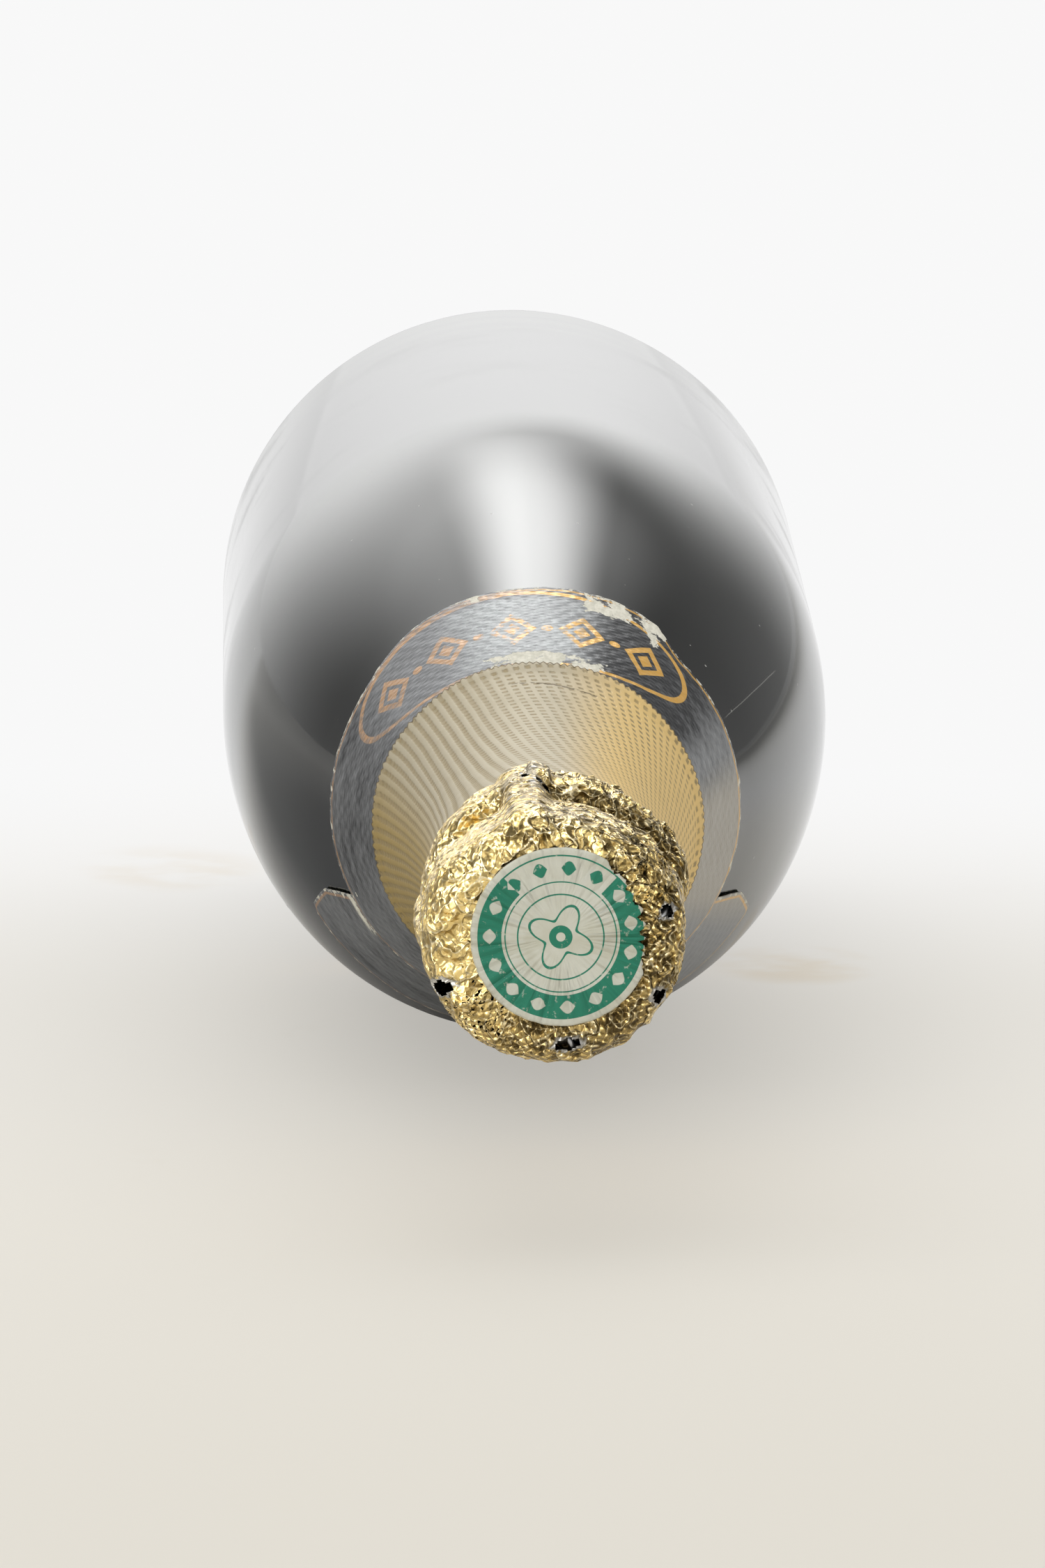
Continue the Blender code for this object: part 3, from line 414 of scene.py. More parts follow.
charcoal = new_finish("front_label_print")
place, height, clock, off_axis = charcoal.on_bottle()
edge = charcoal.mark("edge")
fibre = charcoal.grain(place, 0.0009, 3, 0.6)
border = edge.line(0.0025, 0.0004).most(edge.line(0.0036, 0.00012))
border = border.most(height.line(0.088, 0.0035) * (edge > 0.0036))
paper_colour = fibre.eased(0.3, 0.8).tint((0.020, 0.021, 0.024), (0.045, 0.046, 0.050))
charcoal.surface(Base_Color=(border * 0.95).tint(paper_colour, (0.60, 0.40, 0.14)), Roughness=0.55 - border * 0.2,
                 Metallic=border * 0.8, Normal=charcoal.relief(fibre, 0.00003))
front.data.materials.append(charcoal.owner)

# The collar is a band of embossed charcoal paper glued round the shoulder, with an oval medallion on top, edged in
# gold. Rubbing against other bottles has worn it down to cream fibres in places. Its front panel hangs below.
COLLAR_TOP, COLLAR_FOOT = 0.2297799, 0.2109799
PANEL_TOP, PANEL_TALL = COLLAR_FOOT - 0.00006, 0.0236
OVAL_CLOCK, OVAL_SPAN, OVAL_MIDDLE, OVAL_HALF = radians(-8), radians(58.5), 0.2186, 0.0104


def lobe_drop(clock):
    """How far the collar hangs lower under its medallion: gently at the left, steeply at the right."""
    turns = [-62, -57, -50, -41, -32, -24, 0, 19, 29, 34, 38, 41, 44]
    drops = [0, 0.3, 1.4, 2.7, 3.6, 4.1, 4.3, 4.5, 4.4, 3.7, 2.2, 0.8, 0]
    return np.interp(np.degrees(clock), turns, drops) / 1000


def ruffle(height, clock, radius, size, seed):
    """Smooth unevenness from -1 to 1 over a sheet, by its place."""
    spots = zip(radius * np.cos(clock), height, radius * np.sin(clock))
    return np.array([noise.noise(Vector(spot) / size + Vector((seed, seed * 0.7, 3.1))) for spot in spots])


def ramp(value, low, high):
    """0 up to low and 1 from high on, in a straight line between them. High may be the lower of the two."""
    return np.clip((value - low) / (high - low), 0, 1)


def lie_collar(u, v):
    clock = (u - 0.5) * 2 * pi
    foot = COLLAR_FOOT - lobe_drop(clock)
    height = foot + v * (COLLAR_TOP - foot)
    radius = glass_radius(height)
    lift = 0.00014 * np.abs(ruffle(height, clock, radius, 0.004, 5.0))
    lift += 0.00018 * ramp(height - foot, 0.0012, 0) * np.abs(ruffle(height, clock, radius, 0.0016, 9.0))
    return height, clock, radius + GLUE + lift, {"edge": height - foot}


collar = laid_on("collar_paper", 420, 40, lie_collar, PAPER * 0.8, True)
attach(collar, "bottle")
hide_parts("collar_label")


def printed_paper(name, medallion):
    """Charcoal paper embossed with short dashes, gold lines along its edge, rubbed patches, and a painted sheen."""
    ink = new_finish(name)
    place, height, clock, off_axis = ink.on_bottle()
    edge = ink.mark("edge")
    wide = ink.grain(place, 0.011, 3, 0.6)
    fine = ink.grain(place, 0.0011, 3, 0.65)
    fibre = ink.grain(place, 0.0006, 2, 0.6, (1, 0.35, 1))
    round_way = ink.add("CombineXYZ", {}, [clock * 3.2, height * 620, 0.0])
    streak = ink.add("TexNoise", {}, {"Vector": round_way, "Scale": 1.0, "Detail": 4.0, "Roughness": 0.65})
    rows = height * (1 / 0.00066) + clock * 2.0
    dashes = (rows * pi).wave() * (clock * 75 + (rows * 0.5).reckon("FLOOR") * pi).wave()
    # Painted sheen: light, left, right and under paint the paper paler at the top left, on the left, on the right
    # and underneath; streak, wide, fine and dashes are its own tone and wear.
    light = clock.eased(0.34, 0.02) * clock.eased(-1.20, -0.85)
    left = clock.eased(-0.95, -1.15) * 0.22
    right = clock.eased(0.95, 1.25) * 0.85
    under = abs(clock).eased(1.75, 2.1) * 0.30
    shade = light * 0.70 + left + right + under + (streak - 0.5) * 1.3 * (1 - light * 0.5)
    shade = shade + (wide - 0.5) * 0.6 + (fine - 0.5) * 0.5 + dashes * 0.10
    colour = shade.least(1.0).most(0.0).tint((0.026, 0.027, 0.028), (0.262, 0.268, 0.275))
    # Painted sheen: a pale brownish grey low on the right.
    colour = (clock.line(1.75, 0.25, 0.25) * 0.55).tint(colour, (0.46, 0.41, 0.32))
    worn_left = clock.eased(0.20, -0.30)
    gold = worn_left.tint((0.76, 0.43, 0.09), (0.50, 0.30, 0.16))
    presence = edge.line(0.00062, 0.00016, 0.0001) * 0.75
    rub = fine * 0.6 + wide * 0.4
    faded = rub.eased(0.46, 0.56)
    if medallion:
        across = (clock - OVAL_CLOCK) / OVAL_SPAN
        upward = (height - OVAL_MIDDLE) / OVAL_HALF
        reach = (abs(across) ** 2.2 + abs(upward) ** 2.2) ** (1 / 2.2) - 1
        reach = reach * (across * across * 0.014 + OVAL_HALF)
        oval = reach.line(0, 0.00042, 0.00012)
        step = across * 2.75
        beside = abs(step - step.reckon("ROUND")) * 0.0094
        along = abs(height - OVAL_MIDDLE)
        shape = beside + along * 0.72
        lozenge = shape.eased(0.00335, 0.00320) * (abs(across) < 0.88)
        eyelet = shape.line(0.00165, 0.00038, 0.0001)
        beads = ((beside - 0.0047) * (beside - 0.0047) + along * along) ** 0.5
        bead = beads.eased(0.00085, 0.00075) * (abs(across) < 0.80)
        presence = presence.most(oval).most(lozenge - eyelet).most(bead)
        middle = abs(across - 0.05).eased(0.50, 0.15) * reach.eased(-0.0005, -0.002)
        presence = presence * (1 - worn_left * faded * 0.55) * (1 - middle * faded * 0.85)
        colour = (middle * (0.5 + 0.5 * faded)).tint(colour, (0.40, 0.42, 0.42))
    patch = clock.line(0.42, 0.17, 0.10) * edge.eased(0.0066, 0.0030)
    patch = patch.most(clock.line(0.03, 0.30, 0.16) * height.line(0.2272, 0.0012, 0.0014) * 0.85)
    patch = patch.most(clock.line(-0.24, 0.10, 0.12) * edge.eased(0.0030, 0.0012) * 0.7)
    tear = ink.grain(place, 0.0050, 5, 0.66) * 0.75 + fine * 0.25
    bare = (tear + patch * 0.24).eased(0.665, 0.690)
    bare = bare.most((ink.grain(place, 0.0017, 3, 0.7) - edge * 230).eased(0.46, 0.53) * 0.85)
    if not medallion:
        wing = clock.line(-2.10, 0.14, 0.05) * height.eased(PANEL_TOP - 0.0022, PANEL_TOP - 0.0010)
        bare = bare.most(wing * (fine + wide).eased(0.85, 1.0))
    colour = (presence * 0.94).tint(colour, gold)
    colour = bare.tint(colour, fibre.eased(0.3, 0.7).tint((0.60, 0.58, 0.48), (0.76, 0.73, 0.62)))
    ink.surface(Base_Color=colour, Metallic=presence * (1 - bare) * 0.25,
                Roughness=0.44 + bare * 0.35 - presence * 0.08,
                Normal=ink.relief(dashes, 0.00006, 0.9, ink.relief(fine - bare * 0.5, 0.00010)))
    return ink.owner


collar.data.materials.append(printed_paper("collar_print", True))
panel_shares = [0, 0.06, 0.30, 0.50, 0.75, 1]
panel_spans = [57, 60, 62.5, 64.5, 64, 63]


def lie_panel(u, v):
    span = np.radians(np.interp(v, panel_shares, panel_spans))
    clock = pi + (u - 0.5) * 2 * span
    height = PANEL_TOP - PANEL_TALL * (1 - v)
    radius = glass_radius(height)
    edge = np.minimum(np.minimum(u, 1 - u) * 2 * span * radius, v * PANEL_TALL)
    lift = 0.00012 * np.abs(ruffle(height, clock, radius, 0.004, 2.0))
    return height, clock, radius + GLUE + lift, {"edge": edge}


panel = laid_on("collar_front_panel", 150, 40, lie_panel, PAPER * 0.8)
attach(panel, "bottle")
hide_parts("shoulder_label")
panel.data.materials.append(printed_paper("panel_print", False))

# The foil's lower part stays on the neck when the hood is torn off. It is thin gold foil, embossed all over with
# fine diamonds and pleated where it was wound on. Its serrated edge laps over the collar.
FOIL_TOP = RING_FOOT - 0.0034
FOIL_FOOT = COLLAR_TOP - 0.0008
TEETH, PLEATS = 150, 88


def lie_neck_foil(u, v):
    clock = (u - 0.5) * 2 * pi
    tooth = np.abs((clock * TEETH / (2 * pi)) % 1 - 0.5) * 2
    foot = FOIL_FOOT + 0.00055 * tooth + 0.0002 * np.sin(clock * 7 + 1)
    height = foot + v * (FOIL_TOP - foot)
    radius = glass_radius(height)
    over_collar = ramp(height, COLLAR_TOP + 0.0012, COLLAR_TOP + 0.0002)
    pleated = 0.25 + 0.75 * ramp(clock, 0.10, -0.70) * ramp(clock, -2.4, -1.9)
    bent = 0.7 * ruffle(height, clock, radius, 0.011, 4.0) + 0.30 * ruffle(height, clock, radius, 0.005, 6.0)
    lean = (height - FOIL_FOOT) * 1000 * np.clip(0.9 + 0.9 * clock, 0.0, 1.3)
    pleat = 0.5 + 0.5 * np.sin(clock * PLEATS - lean + bent)
    crease = 0.00005 * np.abs(ruffle(height, clock, radius, 0.003, 1.0))
    radius = radius + GLUE + 0.00045 * over_collar + 0.00011 * pleat * pleated + crease
    return height, clock, radius, {"pleat": pleat, "pleated": pleated, "edge": height - foot}


neck_foil = laid_on("neck_foil_sheet", 600, 72, lie_neck_foil, 0.0001, True)
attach(neck_foil, "bottle")
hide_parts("neck_foil")

pale_gold = new_finish("embossed_foil")
place, height, clock, off_axis = pale_gold.on_bottle()
pleat = pale_gold.mark("pleat")
pleated = pale_gold.mark("pleated")
edge = pale_gold.mark("edge")
cloud = pale_gold.grain(place, 0.009, 3, 0.6)
speckle = pale_gold.grain(place, 0.0007, 2, 0.6)
rows = (height * (2 * pi / 0.00125) + clock * 6.0).wave() * 0.5 + 0.5
dimple = (1 - pleat).eased(0.25, 0.85) * rows.eased(0.35, 0.80)
# Painted sheen and shade: the foil is painted paler and greyer at the top left and darker bronze low on the left.
painted_sheen_top_left = clock.eased(0.70, 0.05)
painted_shade_low_left = clock.eased(-1.05, -1.60)
colour = painted_sheen_top_left.tint((0.74, 0.53, 0.215), (0.43, 0.38, 0.275))
colour = painted_shade_low_left.tint(colour, (0.34, 0.245, 0.085))
smooth_part = cloud.eased(0.38, 0.62)
# Painted shade: the embossed dimples and the valleys between pleats are painted dark brown; the cloud and speckle
# add the foil's own uneven tone.
band = (1 - pleat).eased(0.35, 0.75) * pleated.eased(0.45, 0.90) * 0.62
painted_hollow_shade = (dimple * (0.88 - smooth_part * 0.30)).most(band) + cloud.eased(0.5, 0.75) * 0.12
colour = (painted_hollow_shade + (speckle - 0.5) * 0.25).least(1.0).most(0.0).tint(colour, (0.27, 0.21, 0.105))
fold_line = height - 0.2352 - (clock * 5.0).wave() * 0.0007 - (speckle - 0.5) * 0.0006
fold_line = fold_line.line(0, 0.00016, 0.0001) * clock.line(0.08, 0.30, 0.06) * (cloud + speckle).eased(0.80, 0.95)
# Painted shadow: a dark line along the serrated foot where it laps the collar, and the fold line painted dark as
# shade in its crease.
colour = (edge.eased(0.00034, 0.00016) * 0.85).most(fold_line * 0.8).tint(colour, (0.10, 0.07, 0.03))
pale_gold.surface(Base_Color=colour, Metallic=0.20, Roughness=0.58 + cloud * 0.12,
                  Normal=pale_gold.relief(dimple * -1 - fold_line, 0.00012, 0.9, pale_gold.relief(cloud, 0.0003)))
neck_foil.data.materials.append(pale_gold.owner)

# The cork is pressed into the bore and has swollen over the lip like a mushroom. Its body is glued granules of
# cork, and two discs of natural cork are glued on at the wine's end.
CORK_FOOT, CORK_TOP, CORK_HEAD, CORK_DISC = MOUTH - 0.026, MOUTH + 0.017, 0.0152, 0.0058
DISC_STEP = CORK_DISC + 0.0003
in_bore = BORE - 0.00035
groove_under = CORK_TOP - 0.0018
cork_outline = [
    (CORK_TOP, 0),
    (CORK_TOP, 0.0097),
    (groove_under, 0.0103),
    (groove_under, 0.0133),
    (groove_under - 0.0013, 0.0145),
    (groove_under - 0.0037, 0.0145),
    (MOUTH + 0.0098, CORK_HEAD),
    *bend(MOUTH + 0.0053, CORK_HEAD - 0.005, 0.005, 0, -pi / 2, 8),
    (MOUTH + 0.0003, in_bore),
    (CORK_FOOT + 2 * DISC_STEP, in_bore),
    (CORK_FOOT + 2 * DISC_STEP, 0),
]
cork = turned("cork_granules", cork_outline, 96)
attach(cork, "cork")
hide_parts("cork_body")
granules = new_finish("cork_granules")
place = granules.on_bottle()[0]
shade = granules.split(granules.cells(place, 0.0024, output="Color"))[0]
gap = granules.cells(place, 0.0024, "DISTANCE_TO_EDGE").eased(0.05, 0.0)
pore = granules.grain(place, 0.0005, 3, 0.7)
colour = shade.tint((0.50, 0.31, 0.16), (0.68, 0.47, 0.27))
colour = (gap * 0.8).most(pore.eased(0.62, 0.75) * 0.6).tint(colour, (0.20, 0.11, 0.05))
granules.surface(Base_Color=colour, Roughness=0.85, Normal=granules.relief(pore - gap, 0.0002))
cork.data.materials.append(granules.owner)

bark = new_finish("natural_cork")
place, height, clock, off_axis = bark.on_bottle()
ring = bark.grain(place, 0.0018, 3, 0.6, (1.0, 1.0, 0.25))
pit = bark.cells(place, 0.0016).eased(0.22, 0.12)
stain = height.eased(CORK_FOOT + 0.0035, CORK_FOOT)
colour = stain.tint(ring.tint((0.52, 0.34, 0.19), (0.70, 0.50, 0.31)), (0.40, 0.24, 0.12))
bark.surface(Base_Color=(pit * 0.8).tint(colour, (0.20, 0.11, 0.06)), Roughness=0.8,
             Normal=bark.relief(ring - pit, 0.00015))
for name, node, foot in (("cork_disc_at_wine", "cork_disc_wine_side", CORK_FOOT),
                         ("cork_disc_above", "cork_disc_inner", CORK_FOOT + DISC_STEP)):
    head = foot + CORK_DISC
    outline = [(head, 0), (head, in_bore - 0.0003), (head - 0.0003, in_bore),
               (foot + 0.0003, in_bore), (foot, in_bore - 0.0003), (foot, 0)]
    disc = turned(name, outline, 96)
    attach(disc, "cork")
    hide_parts(node)
    disc.data.materials.append(bark.owner)

# The crown plate is a cap pressed from thin lacquered tinplate. It lies on the cork's head, so that the wires
# don't cut into it: a raised middle, a groove for the wire and a rim turned down.
PLATE_TOP = CORK_TOP + 0.0007
groove_top = PLATE_TOP - 0.0018
skin = [(PLATE_TOP, 0), *bend(PLATE_TOP - 0.0006, 0.0098, 0.0006, pi / 2, 0.2, 4), (groove_top, 0.0110),
        (groove_top, 0.0136), *bend(groove_top - 0.0013, 0.0139, 0.0013, pi / 2, 0, 6),
        (groove_top - 0.0037, 0.0152), (groove_top - 0.0037, 0.0149), (groove_top - 0.0015, 0.0149),
        (groove_top - 0.0005, 0.0136), (groove_top - 0.0004, 0.0107), (PLATE_TOP - 0.0007, 0.0099),
        (PLATE_TOP - 0.0004, 0.0095), (PLATE_TOP - 0.0004, 0)]
plate = turned("crown_plate_cap", skin, 96)
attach(plate, "cage")
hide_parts("crown_plate")
tin = new_finish("lacquered_tinplate")
place, height, clock, off_axis = tin.on_bottle()
wear = tin.grain(place, 0.003, 4, 0.65)
lacquer = off_axis.eased(0.0131, 0.0128)
ring = off_axis.line(0.0088, 0.00025).most(off_axis.line(0.0080, 0.0001))
colour = (lacquer * (1 - wear.eased(0.60, 0.68))).tint((0.72, 0.70, 0.66), (0.50, 0.36, 0.12))
tin.surface(Base_Color=ring.tint(colour, (0.12, 0.08, 0.03)), Metallic=0.95, Roughness=0.26 + wear * 0.16,
            Normal=tin.relief(wear, 0.00004))
plate.data.materials.append(tin.owner)

# The cage is galvanised steel wire. Four wires each run up one leg, round a quarter of the plate and down the next
# leg, and are twisted together in pairs down the legs. Each leg opens into an eyelet round the belt, the wire that
# pulls in under the glass ring. The loop that untwists it lies folded up under the foil.
WIRE, PAIR, LEG_TURNS = 0.0004, 0.00046, 5
LEG_CLOCK, BELT = radians(78), RING_FOOT - 0.0012
PLATE_WIRE = groove_top + 0.0003 + WIRE


def on_bottle(height, clock, radius):
    return Vector((radius * sin(clock), REAR - height, AXIS + radius * cos(clock)))


def drawn_wire(name, points, closed=False):
    """A round wire along these points, made a mesh."""
    curve = bpy.data.curves.new(name, "CURVE")
    curve.dimensions, curve.bevel_depth, curve.bevel_resolution, curve.use_fill_caps = "3D", WIRE, 3, True
    spline = curve.splines.new("POLY")
    spline.points.add(len(points) - 1)
    spline.points.foreach_set("co", [value for point in points for value in (*point, 1)])
    spline.use_cyclic_u = closed
    wire = placed(name, curve)
    bpy.ops.object.select_all(action="DESELECT")
    wire.select_set(True)
    bpy.context.view_layer.objects.active = wire
    bpy.ops.object.convert(target="MESH")
    weld(0.000002)
    bpy.ops.object.shade_smooth_by_angle(angle=radians(50))
    return bpy.context.object


EYELET, EYELET_HALF, EYELET_OPEN = 0.0166, 0.0021, 0.0008
leg_top = PLATE_WIRE - WIRE + 0.00086
leg_line = np.array([
    (BELT - EYELET_HALF, EYELET), (BELT, EYELET), (BELT + EYELET_HALF, EYELET + 0.0001),
    (BELT + 0.0034, 0.0171), (RING_FOOT + 0.006, 0.01725), (MOUTH + 0.003, 0.01636),
    (leg_top - 0.0064, 0.01636), (leg_top - 0.0032, 0.01636), (leg_top - 0.0003, 0.01466), (leg_top, 0.01372)])


def walked_along(points):
    """How far along a line each of its points is."""
    return np.concatenate(([0], np.cumsum(np.linalg.norm(np.diff(points, axis=0), axis=1))))


def smooth_line(corners, count):
    """Evenly spaced points along a curve through the corners."""
    ends = np.vstack((2 * corners[0] - corners[1], corners, 2 * corners[-1] - corners[-2]))
    fine = []
    for a, b, c, d in zip(ends, ends[1:], ends[2:], ends[3:]):
        for t in np.linspace(0, 1, 24, endpoint=False):
            fine.append(0.5 * (2 * b + (c - a) * t + (2 * a - 5 * b + 4 * c - d) * t**2
                               + (3 * b - a - 3 * c + d) * t**3))
    fine = np.array(fine + [corners[-1]])
    along = walked_along(fine)
    even = np.linspace(0, along[-1], count)
    return np.column_stack([np.interp(even, along, fine[:, i]) for i in range(2)]), even


leg, walked = smooth_line(leg_line, 130)
slant = np.gradient(leg, axis=0)
slant /= np.linalg.norm(slant, axis=1)[:, None]


def strand(clock, side):
    """One wire of a leg's twisted pair, from its tail under the belt up to the plate."""
    points = []
    for (height, radius), (rise, out), distance in zip(leg, slant, walked):
        above = max(0, distance - 2 * EYELET_HALF) / (walked[-1] - 2 * EYELET_HALF)
        turn = pi / 2 + (LEG_TURNS * 2 * pi + pi / 2) * above
        apart = abs(distance - EYELET_HALF) / EYELET_HALF
        offset = PAIR + (EYELET_OPEN - PAIR) * (cos(apart * pi / 2) ** 2 if apart < 1 else 0)
        outward = sin(turn) * offset * side
        centre = on_bottle(height - out * outward, clock, radius + rise * outward)
        points.append(centre + Vector((cos(clock), 0, -sin(clock))) * cos(turn) * offset * side * -1)
    return points


steel = new_finish("galvanised_wire")
place = steel.on_bottle()[0]
spangle = steel.grain(place, 0.0012, 3, 0.6)
steel.surface(Base_Color=spangle.tint((0.36, 0.36, 0.37), (0.62, 0.62, 0.61)), Metallic=1.0,
              Roughness=0.28 + spangle * 0.2, Normal=steel.relief(spangle, 0.00003))
for number in range(4):
    first = LEG_CLOCK - number * pi / 2
    second = first - pi / 2
    round_plate = [on_bottle(PLATE_WIRE, first - radians(9 + 72 * i / 15), 0.0120) for i in range(16)]
    points = strand(first, -1) + round_plate + strand(second, 1)[::-1]
    wire = drawn_wire(f"leg_wire_{number + 1}", points)
    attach(wire, "cage")
    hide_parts(f"cage_wire_{number + 1}")
    wire.data.materials.append(steel.owner)

waist = NECK + GLUE + WIRE
belt_points = []
for i in range(288):
    turn = 2 * pi * i / 288
    share = (0.5 + 0.5 * cos(4 * turn)) ** 6
    belt_points.append(on_bottle(BELT, LEG_CLOCK - turn, waist + (EYELET - waist) * share))
belt = drawn_wire("belt_wire", belt_points, True)
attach(belt, "cage")
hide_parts("cage_belt")
belt.data.materials.append(steel.owner)

LOOP_CLOCK, LOOP_BOW, LOOP_GAP, STEM = radians(123), 0.0044, radians(18), 0.0136
stem_root, stem_out = 0.01756, 0.01746
loop_points = [[], [], []]
for i in range(49):
    share = i / 48
    radius = stem_root + (stem_out - stem_root) * min(1, 2.5 * share)
    turn = 4 * pi * (1 - share)
    shift = Vector((-cos(LOOP_CLOCK), 0, sin(LOOP_CLOCK))) * cos(turn)
    shift += Vector((sin(LOOP_CLOCK), 0, cos(LOOP_CLOCK))) * sin(turn)
    centre = on_bottle(BELT + STEM * share, LOOP_CLOCK, radius)
    loop_points[0].append(centre + shift * PAIR)
    loop_points[2].append(centre - shift * PAIR)
for i in range(48):
    angle = -pi / 2 + LOOP_GAP + 2 * (pi - LOOP_GAP) * i / 47
    height = BELT + STEM + LOOP_BOW + LOOP_BOW * sin(angle)
    loop_points[1].append(on_bottle(height, LOOP_CLOCK - LOOP_BOW * cos(angle) / stem_out, stem_out))
loop = drawn_wire("untwisting_loop", loop_points[0] + loop_points[1] + loop_points[2][::-1])
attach(loop, "loop")
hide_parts("cage_loop")
loop.data.materials.append(steel.owner)

# The hood is the foil's upper part, thin gold foil crushed over cork and cage by hand. It is drawn tight on the
# four legs and rolls out over the glass ring. Its lower edge is torn, and its sharpest folds are worn to silver.
FOIL = 0.00007
HOOD_TOP, HOOD_FOOT, HOOD_SIDE, HOOD_EDGE = 0.3232286, BELT - 0.0024, 0.0172, 0.0044
ROLL_TOP, ROLL_FOOT = 0.2985, 0.2895  # where the foil bulges over the glass ring
hood_outline = np.array([
    (HOOD_TOP, 0), (HOOD_TOP, 0.0128),
    *bend(HOOD_TOP - HOOD_EDGE, HOOD_SIDE - HOOD_EDGE, HOOD_EDGE, pi / 2, 0, 8),
    (0.3125, 0.01725), (0.3070, 0.0171), (0.3025, 0.0159), (0.2996, 0.0148), (0.2983, 0.0141), (0.2974, 0.0144),
    (0.2968, 0.0160), (0.2959, 0.0167), (0.2940, 0.0168), (0.2915, 0.0168), (0.2888, 0.0166), (HOOD_FOOT, 0.0164)])
ridge_line = [(0.2859, 0.0180), (0.2885, 0.0180), (0.2915, 0.0180), (0.2955, 0.0182), (0.3085, 0.0175),
              (0.3190, 0.0175)]
# Azimuth, and how far the roll stands out there, in millimetres.
bulges = np.array([(0, 0.5), (12, 1.0), (27, 1.7), (42, 0.7), (60, 0), (110, 0), (150, 0.2), (180, 0.1),
                   (215, 0), (270, 0), (330, 0.2), (360, 0.5)])
# Azimuth, distance off the axis, half width and half length.
holes = [(205.6, 0.0166, 0.0009, 0.0014), (279, 0.0147, 0.0014, 0.0007), (331, 0.0169, 0.0008, 0.0009),
         (13, 0.0161, 0.0007, 0.0009)]


